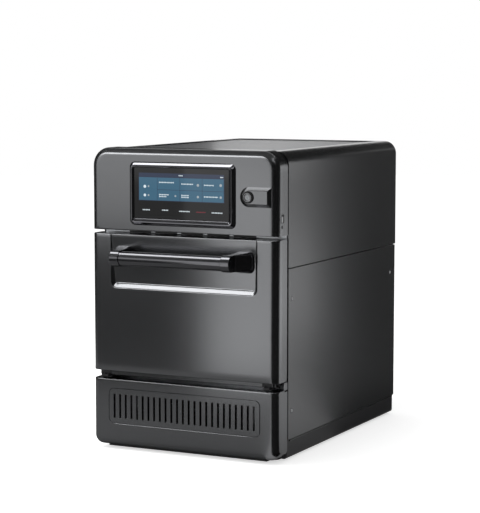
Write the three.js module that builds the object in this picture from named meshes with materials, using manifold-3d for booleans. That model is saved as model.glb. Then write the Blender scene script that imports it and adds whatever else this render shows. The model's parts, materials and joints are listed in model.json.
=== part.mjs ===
// Countertop speed oven: a narrow cabinet with a touch-screen fascia, a drop-down door and a
// slotted air intake below. Millimetres, +Z up, +X to the right, the front faces -Y.
// The front faces lie in the plane y = 0 while the pieces are made, and the whole is then
// moved so that its origin is the middle of its footprint on the counter.
import * as THREE from "three";
import { mergeVertices } from "three/addons/utils/BufferGeometryUtils.js";
import Module from "manifold-3d";

const wasm = await Module();
wasm.setup();

// Driving dimensions
const width = 398;
const clearance = 0.3;
const overrun = 20;
const weld = 0.001;

const front = {
  bottom: 8,
  depth: 45,
  edgeRadius: 13,
  topCorner: 35,
  bottomCorner: 18,
  sheet: 1.5,
  shadowGap: 3.5,
  tabWidth: 24,
  tabInset: 26,
};
const lowerPanel = {
  height: 130.5,
  earDepth: 12.5,
  earHeight: 14.5,
  footRun: 17.5,
  footRise: 9.5,
};
const door = {
  height: 267.5,
  gapBelow: 16.5,
  gapAbove: 7.5,
  backPlate: 2,
  plateInset: 1,
  lipHeight: 9,
  lipInset: 10.5,
  lipCorner: 4,
  lipSheet: 2,
  taperRun: 3.2,
  taperRise: 14,
};
const scoop = {
  side: 42,
  height: 104.5,
  corner: 12,
  topDepth: 1.2,
  bottomDepth: 8,
  ledgeRise: 9,
  sideRun: 6,
};
const handle = {
  standoff: 43,
  belowTop: 41.8,
  barRadius: 13.8,
  capRadius: 15.7,
  endSpace: 49,
  capLength: 19,
  armEnd: 12,
  armRise: 1.5,
  armDrop: 5,
  armCorner: 3,
  footFlare: 22.5,
  footRise: 4,
  footDrop: 6,
  footCorner: 12,
};
const screen = {
  side: 85.5,
  rise: 11.5,
  height: 121.5,
  topSpace: 25.5,
  corner: 9,
  protrusion: 7,
  bevel: 6,
  glassSide: 12,
  glassLow: 13,
  glassHigh: 10,
  glassCorner: 3,
  glassThickness: 3,
  glassSink: 2.5,
  spigotInset: 7,
  displaySide: 6.5,
  displayLow: 34.5,
  displayHigh: 4,
  displayThickness: 7,
  boardThickness: 1.6,
  boardInset: 6,
};
const boss = {
  gap: 8.5,
  tall: 37.4,
  rightInset: 13,
  height: 5,
  bevel: 6.5,
};
const button = {
  radius: 9,
  ringRadius: 11.2,
  ringWall: 1.9,
  ringLip: 2,
  ringDepth: 9,
  proud: 3,
  crown: 1.2,
  stemRadius: 4,
  travel: 2,
  switchSide: 14,
  switchDepth: 8,
};
const port = {
  setback: 19.5,
  rise: 21.5,
  width: 21,
  height: 21.5,
  depth: 14,
  slotWidth: 5.6,
  slotHeight: 12.4,
  slotDepth: 12,
  serviceForward: 5.5,
  serviceDrop: 16,
  serviceRadius: 2.6,
};
const outlet = {
  side: 19,
  drop: 5.7,
  rise: 16,
  setback: 5,
  sheet: 2,
  slotWidth: 46,
  slotPitch: 55,
  slotHeight: 7,
  slotRail: 1.2,
  slots: 5,
};
const intake = {
  side: 36.6,
  rise: 44.6,
  topSpace: 18.2,
  corner: 10,
  groove: 0.9,
  sheet: 2.6,
  flange: 4,
  flangeSheet: 1.4,
  slotWidth: 4.2,
  slotPitch: 12.57,
  slotInset: 10.35,
  slotSide: 9,
};
const cover = {
  sheet: 1.5,
  shoulder: 26,
  drop: 220,
  topStep: 2.5,
  seamGap: 2,
  hem: 1.4,
  ventSide: 39,
  ventFront: 26.2,
  ventRear: 20,
};
const vent = {
  flange: 8,
  sheet: 1.6,
  slotInset: 6,
  slotWidth: 8,
  slotPitch: 18,
  bar: 12,
};
const base = {
  height: 41.5,
  inset: 3,
  rearInset: 2.5,
  sheet: 2,
  edge: 6,
  tongueSide: 27,
  tongueFront: 14,
  slotWidth: 80,
  slotDepth: 6,
  slotPitch: 16,
  slots: 6,
  slotsAhead: 190,
};
const foot = { radius: 17, height: 4, chamfer: 1.5, insetX: 38, insetY: 62 };
const chassis = {
  sheet: 2,
  inset: 1.8,
  windowSide: 79,
  windowInset: 7,
  mouthInset: 2,
  hookSlotWidth: 12,
};
const rear = {
  space: 220,
  sheet: 2,
  slotWidth: 70,
  slotHeight: 5,
  slotPitch: 14,
  slots: 9,
  slotsDrop: 50,
  columnOffset: 70,
};
const gland = {
  side: 59,
  rise: 36.5,
  hexRadius: 13,
  hexLength: 7,
  bodyRadius: 9,
  noseRadius: 7.5,
  length: 16,
  bore: 4.5,
};
const cavity = {
  side: 44,
  floorRise: 35,
  topDrop: 42.5,
  depth: 318.9,
  sheet: 2,
  flange: 11,
  ribRise: 32,
  ribWidth: 10,
  ribThickness: 3,
  inletRadius: 50,
};
const insulation = { thickness: 13, setback: 14.9 };
const shelf = { drop: 30, sheet: 2, holeHalf: 30, holeDepth: 60, holeAhead: 50 };
const support = { side: 37, width: 24, sheet: 2 };
const tray = { side: 6, setback: 10.9, rearSpace: 8, sheet: 2.5, rim: 11 };
const jet = {
  side: 5,
  setback: 6.9,
  rearSpace: 2,
  sheet: 1.6,
  drop: 12,
  holeRadius: 9,
  columns: 5,
  rows: 5,
  pitch: 52,
};
const inletGrille = { radius: 58, sheet: 2, slotWidth: 7, pitch: 14, rim: 8 };
const blower = {
  half: 120,
  boxHalf: 88,
  depth: 48,
  sheet: 1.6,
  corner: 40,
  wheelRadius: 64,
  wheelFront: 9,
  wheelDepth: 30,
  discSheet: 2,
  ringWidth: 9,
  blades: 16,
  bladeInner: 42,
  bladeSheet: 1.8,
  hubRadius: 13,
  shaftRadius: 5,
  shaftInMotor: 24,
  motorRadius: 44,
  motorLength: 74,
  motorStep: 30,
  motorFoot: 60,
  motorFootSheet: 4,
  motorFootCorner: 5,
};
const heater = { ring: 76, tube: 3.6, behindWheel: 6, legAngle: 0.32, legLength: 34 };
const guide = {
  half: 45,
  frontAhead: 180,
  rearAhead: 40,
  height: 42,
  sheet: 2,
  portRadius: 11,
  portBack: 60,
};
const magnetron = {
  half: 38,
  depth: 84,
  height: 62,
  finPitch: 8,
  finSheet: 2,
  finRun: 7,
  antennaRadius: 9,
};
const transformer = {
  side: 45,
  y: 190,
  coreWidth: 84,
  coreDepth: 62,
  coreHeight: 76,
  coilRun: 16,
  coilInset: 12,
};
const capacitor = { gap: 12, y: 200, radius: 18, length: 92, terminal: 8, terminalRadius: 3 };
const powerBoard = {
  gap: 12,
  y: 260,
  width: 130,
  depth: 170,
  sheet: 2,
  standoff: 8,
  blockHeight: 26,
  blockSide: 34,
};
const fan = {
  x: -60,
  size: 120,
  depth: 38,
  setback: 8.9,
  duct: 56,
  corner: 8,
  hubRadius: 20,
  bladeRadius: 53,
  blades: 7,
  bladeSheet: 2,
  bladeChord: 24,
  hubDepth: 26,
  strutWidth: 6,
  strutDepth: 5,
  pinRadius: 2.5,
  running: 0.4,
};
const hinge = {
  side: 25.5,
  axisY: 9,
  axisRise: 4.7,
  bracket: 4,
  eye: 3.6,
  armRise: 2.2,
  ear: 3,
  earGap: 0.5,
  earRadius: 3.9,
  earRun: 12,
  pin: 2.2,
  running: 0.35,
  blockHalf: 9.5,
  blockHeight: 7,
  anchorHeight: 32,
  anchorHalf: 9,
  anchorSheet: 2.6,
};
const latch = { out: 7, belowTop: 20.5, width: 6, height: 9, reach: 18, notch: 4, lift: 6 };
const interlock = { width: 22, depth: 20, height: 34, above: 1.4 };
const gasket = { out: 3, width: 9, corner: 8 };
const plug = { inset: 6, height: 5, corner: 6 };

// Steps of round stretches; a step of a circular arc gives two facets
const arcSteps = 3;
const edgeSteps = 4;
const roundSteps = 12;
const smoothSteps = 16;
const holeSteps = 4;
const bladeSteps = 3;
const hexSteps = 3;
const tubeSteps = 30;

// Places from front to rear
const half = width / 2;
const bodyFront = front.depth + clearance + front.shadowGap;
const behindFrame = bodyFront + chassis.sheet + clearance;
const doorSkinDepth = front.depth - door.backPlate - clearance;
const doorBack = front.depth;
const cavityBack = behindFrame + cavity.depth;
const bodyRear = cavityBack + rear.space;
const frontReach = handle.standoff + handle.capRadius;
const rearReach = bodyRear + gland.length;

// Heights of the front pieces, stacked from the lower panel up
const baseFloor = foot.height + base.sheet;
const panelTop = front.bottom + lowerPanel.height;
const intakeBottom = front.bottom + intake.rise;
const intakeTop = panelTop - intake.topSpace;
const doorBottom = panelTop + door.gapBelow;
const doorTop = doorBottom + door.height;
const lipTop = doorBottom - clearance;
const scoopBottom = doorTop - scoop.height;
const handleZ = doorTop - handle.belowTop;
const hingeZ = panelTop + hinge.axisRise;
const latchZ = doorTop - latch.belowTop;
const fasciaBottom = doorTop + door.gapAbove;
const outletLow = fasciaBottom - outlet.drop;
const outletHigh = fasciaBottom + outlet.rise;
const bezelBottom = fasciaBottom + screen.rise;
const bezelTop = bezelBottom + screen.height;
const glassBottom = bezelBottom + screen.glassLow;
const glassTop = bezelTop - screen.glassHigh;
const displayBottom = glassBottom + screen.displayLow;
const displayTop = glassTop - screen.displayHigh;
const buttonZ = (bezelBottom + bezelTop) / 2;
const bossBottom = buttonZ - boss.tall / 2;
const portZ = bezelBottom + port.rise;
const frontTop = bezelTop + screen.topSpace;
const bodyTop = frontTop - cover.topStep;
const coverSeam = bodyTop - cover.drop;

// Widths of the front pieces
const coverInner = half - cover.sheet;
const scoopHalf = half - scoop.side;
const barHalf = scoopHalf - handle.endSpace;
const capEnd = barHalf + handle.capLength;
const hingeX = half - hinge.side;
const bezelHalf = half - screen.side;
const glassHalf = bezelHalf - screen.glassSide;
const displayHalf = glassHalf - screen.displaySide;
const bossLeft = bezelHalf + boss.gap;
const buttonX = bossLeft + boss.tall / 2;
const portY = front.depth - port.setback;
const outletHalf = half - outlet.side;
const intakeHalf = half - intake.side;

// The cavity and its mouth
const cavityHalf = half - cavity.side;
const cavityFloor = doorBottom + cavity.floorRise;
const cavityCeiling = doorTop - cavity.topDrop;
const ribTop = cavityFloor + cavity.ribRise;
const mouthHalf = cavityHalf - chassis.mouthInset;
const mouthBottom = cavityFloor + chassis.mouthInset;
const mouthTop = cavityCeiling - chassis.mouthInset;
const latchX = cavityHalf + latch.out;
const blowerZ = (cavityFloor + cavityCeiling) / 2;
const linerHalf = cavityHalf + cavity.sheet;
const linerBottom = cavityFloor - cavity.sheet;
const linerTop = cavityCeiling + cavity.sheet;
const linerBack = cavityBack + cavity.sheet;
const jacketFront = behindFrame + insulation.setback;
const shelfLow = cavityFloor - shelf.drop;
const guideFront = cavityBack - guide.frontAhead;
const guideRear = cavityBack - guide.rearAhead;

// The blower, the cooling fan and the power parts
const housingNear = linerBack + clearance;
const housingFar = housingNear + blower.depth;
const wheelNear = housingNear + blower.wheelFront;
const wheelFar = wheelNear + blower.wheelDepth;
const fanCentre = baseFloor + clearance + fan.size / 2;
const transformerX = half - transformer.side - transformer.coreWidth / 2;
const capacitorX = transformerX - transformer.coreWidth / 2 - capacitor.gap - capacitor.radius;
const boardX = capacitorX - capacitor.radius - powerBoard.gap - powerBoard.width / 2;

// Finishes
function finish(color, roughness, metalness) {
  return new THREE.MeshStandardMaterial({ color, roughness, metalness });
}
const blackCoat = finish(0x2b2c2e, 0.38, 0.35);
const darkCoat = finish(0x1d1e20, 0.45, 0.3);
const glossBlack = finish(0x08090a, 0.12, 0);
const satinBlack = finish(0x151617, 0.3, 0);
const displayGlow = finish(0x2c5876, 0.2, 0);
const stainless = finish(0xb9bcc0, 0.3, 0.9);
const galvanised = finish(0x9da3a6, 0.5, 0.8);
const darkSteel = finish(0x4c4f52, 0.5, 0.8);
const rubber = finish(0x18181a, 0.8, 0);
const silicone = finish(0x3a3b3d, 0.7, 0);
const wool = finish(0xcfc8b4, 0.95, 0);
const board = finish(0x1f5b3a, 0.6, 0);
const copper = finish(0x9a5a35, 0.4, 0.8);
const aluminium = finish(0xa9acae, 0.4, 0.9);

// Solids and meshes
function solid(geometry) {
  const bare = geometry.index ? geometry.toNonIndexed() : geometry.clone();
  bare.deleteAttribute("normal");
  bare.deleteAttribute("uv");
  const merged = mergeVertices(bare, weld);
  const vertProperties = merged.attributes.position.array;
  const triVerts = new Uint32Array(merged.index.array);
  return new wasm.Manifold(new wasm.Mesh({ numProp: 3, vertProperties, triVerts }));
}

function union(solids) {
  return solids.reduce((whole, piece) => whole.add(piece));
}

function without(body, cuts) {
  return cuts.reduce((rest, cut) => rest.subtract(cut), body);
}

const oven = new THREE.Group();
oven.name = "speed_oven";
oven.position.y = (frontReach - rearReach) / 2;

function place(name, body, material) {
  const mesh = body.getMesh();
  const geometry = new THREE.BufferGeometry();
  geometry.setAttribute("position", new THREE.BufferAttribute(mesh.vertProperties, 3));
  geometry.setIndex(new THREE.BufferAttribute(mesh.triVerts, 1));
  geometry.computeVertexNormals();
  const node = new THREE.Mesh(geometry, material);
  node.name = name;
  oven.add(node);
}

// Basic forms: a box by its limits, outlines, and outlines made solid along each axis
function box(left, right, near, far, low, high) {
  const geometry = new THREE.BoxGeometry(right - left, far - near, high - low);
  geometry.translate((left + right) / 2, (near + far) / 2, (low + high) / 2);
  return solid(geometry);
}

function outline(left, right, low, high, corner = 0, topCorner = corner) {
  const shape = new THREE.Shape();
  const quarter = Math.PI / 2;
  shape.moveTo(left + corner, low);
  shape.lineTo(right - corner, low);
  if (corner) shape.absarc(right - corner, low + corner, corner, -quarter, 0);
  shape.lineTo(right, high - topCorner);
  if (topCorner) shape.absarc(right - topCorner, high - topCorner, topCorner, 0, quarter);
  shape.lineTo(left + topCorner, high);
  if (topCorner) shape.absarc(left + topCorner, high - topCorner, topCorner, quarter, 2 * quarter);
  shape.lineTo(left, low + corner);
  if (corner) shape.absarc(left + corner, low + corner, corner, 2 * quarter, 3 * quarter);
  return shape;
}

function circle(x, z, radius) {
  return new THREE.Shape().absarc(x, z, radius, 0, 2 * Math.PI);
}

// An outline in x and z, solid from the near to the far face.
function alongY(shape, near, far, steps = arcSteps) {
  const geometry = new THREE.ExtrudeGeometry(shape, {
    depth: far - near,
    bevelEnabled: false,
    curveSegments: steps,
  });
  geometry.rotateX(Math.PI / 2);
  geometry.translate(0, far, 0);
  return solid(geometry);
}

// An outline in x and y, solid from the low to the high face.
function alongZ(shape, low, high, steps = arcSteps) {
  const geometry = new THREE.ExtrudeGeometry(shape, {
    depth: high - low,
    bevelEnabled: false,
    curveSegments: steps,
  });
  geometry.translate(0, 0, low);
  return solid(geometry);
}

// An outline in y and z, solid from the left to the right face.
function alongX(shape, left, right, steps = arcSteps) {
  const geometry = new THREE.ExtrudeGeometry(shape, {
    depth: right - left,
    bevelEnabled: false,
    curveSegments: steps,
  });
  const x = new THREE.Vector3(1, 0, 0);
  const y = new THREE.Vector3(0, 1, 0);
  const z = new THREE.Vector3(0, 0, 1);
  geometry.applyMatrix4(new THREE.Matrix4().makeBasis(y, z, x));
  geometry.translate(left, 0, 0);
  return solid(geometry);
}

// A round bar along y, x or z.
function rodY(x, z, radius, near, far, steps = roundSteps) {
  return alongY(circle(x, z, radius), near, far, steps);
}

function rodX(y, z, radius, left, right, steps = roundSteps) {
  return alongX(circle(y, z, radius), left, right, steps);
}

function rodZ(x, y, radius, low, high, steps = roundSteps) {
  return alongZ(circle(x, y, radius), low, high, steps);
}

// Convex rings of equal length joined into one skin and closed at both ends.
function loft(rings) {
  const count = rings[0].length;
  const positions = rings.flat().flatMap((point) => [point.x, point.y, point.z]);
  const faces = [];
  for (let ring = 0; ring < rings.length - 1; ring++) {
    for (let i = 0; i < count; i++) {
      const a = ring * count + i;
      const b = ring * count + ((i + 1) % count);
      faces.push(a, b, b + count, a, b + count, a + count);
    }
  }
  const last = (rings.length - 1) * count;
  for (let i = 1; i < count - 1; i++) {
    faces.push(0, i + 1, i);
    faces.push(last, last + i, last + i + 1);
  }
  const centre = new THREE.Vector3();
  rings[0].forEach((point) => centre.addScaledVector(point, 1 / count));
  const ahead = rings[1][0].clone().sub(rings[0][0]);
  const turn = new THREE.Vector3();
  rings[0].forEach((point, i) => {
    const arm = point.clone().sub(centre);
    turn.add(arm.cross(rings[0][(i + 1) % count].clone().sub(centre)));
  });
  if (turn.dot(ahead) < 0) faces.reverse();
  const geometry = new THREE.BufferGeometry();
  geometry.setAttribute("position", new THREE.Float32BufferAttribute(positions, 3));
  geometry.setIndex(faces);
  return solid(geometry);
}

// The points of an outline in x and z, each lifted to a depth that may depend on its place.
function ringAt(shape, depth, steps = arcSteps) {
  const points = shape.extractPoints(steps).shape;
  const closed = points[0].distanceTo(points[points.length - 1]) < weld;
  if (closed) points.pop();
  return points.map((p) => new THREE.Vector3(p.x, typeof depth === "number" ? depth : depth(p.y), p.y));
}

// The front form: one rounded pad that fascia, door and lower panel are slices of
function frontForm(inset) {
  const radius = front.edgeRadius - inset;
  const shape = outline(
    inset - half,
    half - inset,
    front.bottom + inset,
    frontTop - inset,
    front.bottomCorner - inset,
    front.topCorner - inset,
  );
  const geometry = new THREE.ExtrudeGeometry(shape, {
    depth: front.depth + overrun,
    bevelEnabled: true,
    bevelThickness: radius,
    bevelSize: radius,
    bevelOffset: -radius,
    bevelSegments: edgeSteps,
    curveSegments: arcSteps,
  });
  geometry.rotateX(Math.PI / 2);
  geometry.translate(0, inset + radius + front.depth + overrun, 0);
  return solid(geometry);
}

function slice(body, low, high, far) {
  const across = half + overrun;
  return body.intersect(box(-across, across, -overrun, far, low, high));
}

const outerForm = frontForm(0);
const innerForm = frontForm(front.sheet);

function frontShell(low, high, far) {
  const innerLow = low > front.bottom ? low + front.sheet : low - overrun;
  const innerHigh = high < frontTop ? high - front.sheet : high + overrun;
  const hollow = slice(innerForm, innerLow, innerHigh, far + overrun);
  return slice(outerForm, low, high, far).subtract(hollow);
}

// Inner tabs that carry a front piece on the chassis, set back from the shadow gap.
function mountingTabs(low, high) {
  const outer = half - front.tabInset;
  return [-1, 1].map((side) => {
    const near = side * outer;
    const away = side * (outer - front.tabWidth);
    const from = front.sheet;
    return box(Math.min(near, away), Math.max(near, away), from, bodyFront - clearance, low, high);
  });
}

// Fascia: the control-panel housing with its button boss
function bossForm() {
  const radius = boss.tall / 2;
  const right = half - boss.rightInset;
  const step = Math.PI / (2 * arcSteps);
  const ring = (inset, depth) => {
    const r = radius - inset;
    const middle = bossBottom + radius;
    const points = [];
    points.push(new THREE.Vector3(right - inset, depth, middle - r));
    points.push(new THREE.Vector3(right - inset, depth, middle + r));
    for (let i = 0; i <= 2 * arcSteps; i++) {
      const angle = Math.PI / 2 + i * step;
      const x = bossLeft + radius + r * Math.cos(angle);
      points.push(new THREE.Vector3(x, depth, middle + r * Math.sin(angle)));
    }
    return points;
  };
  return loft([ring(0, front.sheet), ring(0, 0), ring(boss.bevel, -boss.height)]);
}

function buildFascia() {
  const shell = frontShell(fasciaBottom, frontTop, front.depth);
  const tabHigh = frontTop - front.topCorner;
  const tabs = mountingTabs(bezelTop, tabHigh + front.tabWidth);
  const screenWindow = outline(
    -bezelHalf + screen.spigotInset,
    bezelHalf - screen.spigotInset,
    bezelBottom + screen.spigotInset,
    bezelTop - screen.spigotInset,
    screen.glassCorner,
  );
  const portHigh = port.height / 2 + clearance;
  const portWide = port.width / 2 + clearance;
  const portWindow = box(
    half - overrun,
    half + overrun,
    portY - portWide,
    portY + portWide,
    portZ - portHigh,
    portZ + portHigh,
  );
  const outletClear = box(
    -outletHalf - clearance,
    outletHalf + clearance,
    front.depth - outlet.setback - clearance,
    front.depth + overrun,
    outletLow,
    fasciaBottom + 2 * front.sheet,
  );
  const body = union([shell, bossForm(), ...tabs]);
  const ringHole = rodY(buttonX, buttonZ, button.ringRadius + clearance, -overrun, overrun);
  const serviceHole = rodX(
    portY - port.serviceForward,
    portZ - port.serviceDrop,
    port.serviceRadius,
    half - overrun,
    half + overrun,
  );
  const cuts = [alongY(screenWindow, -overrun, overrun), ringHole, portWindow, serviceHole, outletClear];
  place("fascia_housing", without(body, cuts), blackCoat);
}

// Screen: bezel frame with bevelled edges, glass, display and its board
function buildScreen() {
  const { protrusion, bevel } = screen;
  const rim = outline(-bezelHalf, bezelHalf, bezelBottom, bezelTop, screen.corner);
  const face = outline(
    bevel - bezelHalf,
    bezelHalf - bevel,
    bezelBottom + bevel,
    bezelTop - bevel,
    screen.corner - bevel,
  );
  const edge = protrusion - bevel;
  const pad = loft([ringAt(rim, -clearance), ringAt(rim, -edge), ringAt(face, -protrusion)]);
  const spigot = screen.spigotInset + clearance;
  const plugShape = outline(
    spigot - bezelHalf,
    bezelHalf - spigot,
    bezelBottom + spigot,
    bezelTop - spigot,
    screen.glassCorner,
  );
  const seat = screen.glassThickness + screen.glassSink - protrusion;
  const back = seat + clearance + screen.displayThickness;
  const spigotBody = alongY(plugShape, -edge, back);
  const glassHole = outline(
    -glassHalf - clearance,
    glassHalf + clearance,
    glassBottom - clearance,
    glassTop + clearance,
    screen.glassCorner,
  );
  const displayHole = outline(
    -displayHalf - clearance,
    displayHalf + clearance,
    displayBottom - clearance,
    displayTop + clearance,
  );
  const bezel = without(pad.add(spigotBody), [
    alongY(glassHole, -overrun, seat + clearance),
    alongY(displayHole, -overrun, overrun),
  ]);
  place("screen_bezel", bezel, glossBlack);
  const glass = outline(
    -glassHalf,
    glassHalf,
    glassBottom,
    glassTop,
    screen.glassCorner,
  );
  place("touch_glass", alongY(glass, seat - screen.glassThickness, seat), glossBlack);
  const display = outline(-displayHalf, displayHalf, displayBottom, displayTop);
  place("display_module", alongY(display, seat + clearance, back), displayGlow);
  const inset = spigot + screen.boardInset;
  const boardShape = outline(inset - bezelHalf, bezelHalf - inset, bezelBottom + inset, bezelTop - inset);
  const boardNear = back + clearance;
  place("control_board", alongY(boardShape, boardNear, boardNear + screen.boardThickness), board);
}

// Power button: ring, cap on its stem, and the switch behind it
function buildButton() {
  const lip = button.ringRadius + button.ringLip;
  const bore = button.ringRadius - button.ringWall;
  const face = -boss.height;
  const ringBack = face + button.ringDepth;
  const sleeve = rodY(buttonX, buttonZ, button.ringRadius, face, ringBack);
  const collar = rodY(buttonX, buttonZ, lip, front.sheet + clearance, ringBack);
  const ring = sleeve.add(collar).subtract(rodY(buttonX, buttonZ, bore, -overrun, overrun));
  place("button_ring", ring, glossBlack);
  const top = face - button.proud;
  const skirt = face + button.travel;
  const crownRing = (radius, depth) => ringAt(circle(buttonX, buttonZ, radius), depth, roundSteps);
  const cap = loft([
    crownRing(button.radius, skirt),
    crownRing(button.radius, top + button.crown),
    crownRing(button.radius - button.crown, top),
  ]);
  const stem = rodY(buttonX, buttonZ, button.stemRadius, skirt, ringBack);
  place("power_button", cap.add(stem), satinBlack);
  const side = button.switchSide / 2;
  const switchNear = ringBack + button.travel + clearance;
  const switchBody = box(
    buttonX - side,
    buttonX + side,
    switchNear,
    switchNear + button.switchDepth,
    buttonZ - side,
    buttonZ + side,
  );
  const cheeks = [-1, 1].map((way) => {
    const low = buttonZ + way * (lip - button.ringLip / 2) - front.sheet / 2;
    const rise = low + front.sheet;
    const far = switchNear + button.switchDepth;
    return box(buttonX - side, buttonX + side, ringBack + clearance, far, low, rise);
  });
  const bridge = box(
    buttonX - side,
    buttonX + side,
    switchNear + front.sheet,
    switchNear + button.switchDepth,
    buttonZ - lip,
    buttonZ + lip,
  );
  place("button_switch", union([switchBody, bridge, ...cheeks]), satinBlack);
}

// Service port: a plate in the right flange with its socket
function buildPort() {
  const wide = port.width / 2;
  const high = port.height / 2;
  const plate = box(half - front.sheet, half, portY - wide, portY + wide, portZ - high, portZ + high);
  const bodyWide = port.slotWidth / 2 + front.sheet;
  const bodyHigh = port.slotHeight / 2 + front.sheet;
  const socket = box(
    half - port.depth,
    half - front.sheet / 2,
    portY - bodyWide,
    portY + bodyWide,
    portZ - bodyHigh,
    portZ + bodyHigh,
  );
  const slotWide = port.slotWidth / 2;
  const slotHigh = port.slotHeight / 2;
  const slot = box(
    half - port.slotDepth,
    half + overrun,
    portY - slotWide,
    portY + slotWide,
    portZ - slotHigh,
    portZ + slotHigh,
  );
  place("service_port", plate.add(socket).subtract(slot), satinBlack);
}

// Air outlet strip with a row of slots, seen through the gap above the door
function buildOutlet() {
  const near = front.depth - outlet.setback;
  const back = near + outlet.sheet;
  const strip = box(-outletHalf, outletHalf, near, back, outletLow, outletHigh);
  const slots = [];
  for (let i = 0; i < outlet.slots; i++) {
    const x = (i - (outlet.slots - 1) / 2) * outlet.slotPitch;
    const low = outletLow + outlet.slotRail;
    const wide = outlet.slotWidth / 2;
    slots.push(box(x - wide, x + wide, 0, front.depth, low, low + outlet.slotHeight));
  }
  const tabWide = front.tabWidth;
  const tab = box(
    -tabWide,
    tabWide,
    back - front.sheet / 2,
    bodyFront - clearance,
    outletHigh - front.sheet,
    outletHigh,
  );
  place("outlet_strip", without(strip, slots).add(tab), darkCoat);
}

// Door: outer skin with the scooped recess, inner panel, gasket
function scoopDepth(z, grow) {
  const rise = doorTop - (scoopBottom + scoop.ledgeRise);
  const share = (doorTop - z) / rise;
  return scoop.topDepth + share * (scoop.bottomDepth - scoop.topDepth) + grow;
}

function scoopForm(grow) {
  const outerHalf = scoopHalf + grow;
  const low = scoopBottom - grow;
  const high = doorTop + overrun;
  const mouth = outline(-outerHalf, outerHalf, low, high, scoop.corner + grow, 0);
  const floor = outline(
    scoop.sideRun - outerHalf,
    outerHalf - scoop.sideRun,
    low + scoop.ledgeRise,
    high,
    scoop.corner + grow,
    0,
  );
  const floorRing = ringAt(floor, (z) => scoopDepth(z, grow));
  floorRing.forEach((point) => {
    const share = Math.max(0, Math.min(1, (point.y - grow) / scoop.bottomDepth));
    point.x = Math.sign(point.x) * (Math.abs(point.x) + (1 - share) * scoop.sideRun);
  });
  return loft([ringAt(mouth, -overrun), ringAt(mouth, 0), floorRing]);
}

// The corner cut off the rear edge of a side flange, at its foot.
function flangeTaper(side) {
  const near = doorSkinDepth - door.taperRun;
  const far = doorSkinDepth + overrun;
  const shape = new THREE.Shape();
  shape.moveTo(near, doorBottom - overrun);
  shape.lineTo(far, doorBottom - overrun);
  shape.lineTo(far, doorBottom + door.taperRise);
  shape.lineTo(doorSkinDepth, doorBottom + door.taperRise);
  shape.lineTo(near, doorBottom);
  const inner = side * (half - 2 * front.sheet);
  const outer = side * (half + overrun);
  return alongX(shape, Math.min(inner, outer), Math.max(inner, outer));
}

// The inner panel's lower lip: a shallow tray, left out where the hinges work.
function lipForm(plateNear) {
  const lipHalf = half - door.lipInset;
  const low = doorBottom - door.lipHeight;
  const { lipInset, lipCorner, lipSheet } = door;
  const edge = outline(-lipHalf, lipHalf, lipInset, doorBack, lipCorner, 0);
  const inside = outline(
    lipSheet - lipHalf,
    lipHalf - lipSheet,
    lipInset + lipSheet,
    plateNear,
    lipCorner - lipSheet,
    0,
  );
  const reach = hinge.blockHalf + clearance;
  const notches = [-1, 1].map((side) =>
    box(side * hingeX - reach, side * hingeX + reach, 0, plateNear, low - overrun, lipTop + overrun),
  );
  const root = box(-lipHalf, lipHalf, plateNear, doorBack, low, doorBottom + door.backPlate);
  const hollow = alongZ(inside, low + lipSheet, lipTop + overrun);
  return without(alongZ(edge, low, lipTop), [hollow, ...notches]).add(root);
}

function buildDoor() {
  const outer = slice(outerForm, doorBottom, doorTop, doorSkinDepth);
  const hollow = slice(innerForm, doorBottom + front.sheet, doorTop - front.sheet, doorSkinDepth + overrun);
  const skin = outer.subtract(scoopForm(0)).subtract(hollow.subtract(scoopForm(front.sheet)));
  place("door_skin", without(skin, [-1, 1].map(flangeTaper)), blackCoat);

  const plateForm = frontForm(door.plateInset);
  const plateNear = doorSkinDepth + clearance;
  const plate = slice(plateForm, lipTop, doorTop - door.plateInset, doorBack).intersect(
    box(-half, half, plateNear, doorBack, 0, bodyTop),
  );
  const plugShape = outline(
    plug.inset - mouthHalf,
    mouthHalf - plug.inset,
    mouthBottom + plug.inset,
    mouthTop - plug.inset,
    plug.corner,
  );
  const panel = union([plate, lipForm(plateNear), alongY(plugShape, plateNear, doorBack + plug.height)]);
  place("door_inner_panel", panel, stainless);

  const ringAround = (out, corner) =>
    outline(-mouthHalf - out, mouthHalf + out, mouthBottom - out, mouthTop + out, corner);
  const frame = ringAround(gasket.out + gasket.width, gasket.corner + gasket.width);
  const hole = ringAround(gasket.out, gasket.corner);
  frame.holes.push(hole);
  place("door_gasket", alongY(frame, doorBack + clearance, bodyFront - clearance), silicone);
}

// Handle: bar and two brackets, each a round cap on an arm that flares into a foot
function bracketForm(side) {
  const inner = barHalf;
  const centre = handleZ;
  const rect = (outerX, low, high, corner) =>
    outline(inner, outerX, low, high, corner).extractPoints(arcSteps).shape;
  const lift = (points, depth) =>
    points.map((p) => new THREE.Vector3(side * p.x, typeof depth === "number" ? depth : depth(p.y), p.y));
  const low = centre - handle.capRadius;
  const high = centre + handle.capRadius;
  const seat = (z) => scoopDepth(z, 0) - clearance;
  const rings = [
    lift(rect(capEnd, low, high, handle.armCorner), -handle.standoff),
    lift(rect(capEnd, low - handle.armDrop, high + handle.armRise, handle.armCorner), -handle.armEnd),
    lift(
      rect(capEnd + handle.footFlare, low - handle.footDrop, high + handle.footRise, handle.footCorner),
      seat,
    ),
  ];
  const apart = (point, i, ring) => i === 0 || point.distanceTo(ring[i - 1]) > weld;
  const arm = loft(rings.map((ring) => ring.filter(apart)));
  const from = Math.min(side * inner, side * capEnd);
  const cap = rodX(-handle.standoff, centre, handle.capRadius, from, from + handle.capLength, smoothSteps);
  return arm.add(cap);
}

function buildHandle() {
  const end = barHalf - clearance;
  const bar = rodX(-handle.standoff, handleZ, handle.barRadius, -end, end, smoothSteps);
  place("handle_bar", bar, satinBlack);
  place("handle_bracket_left", bracketForm(-1), satinBlack);
  place("handle_bracket_right", bracketForm(1), satinBlack);
}

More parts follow.
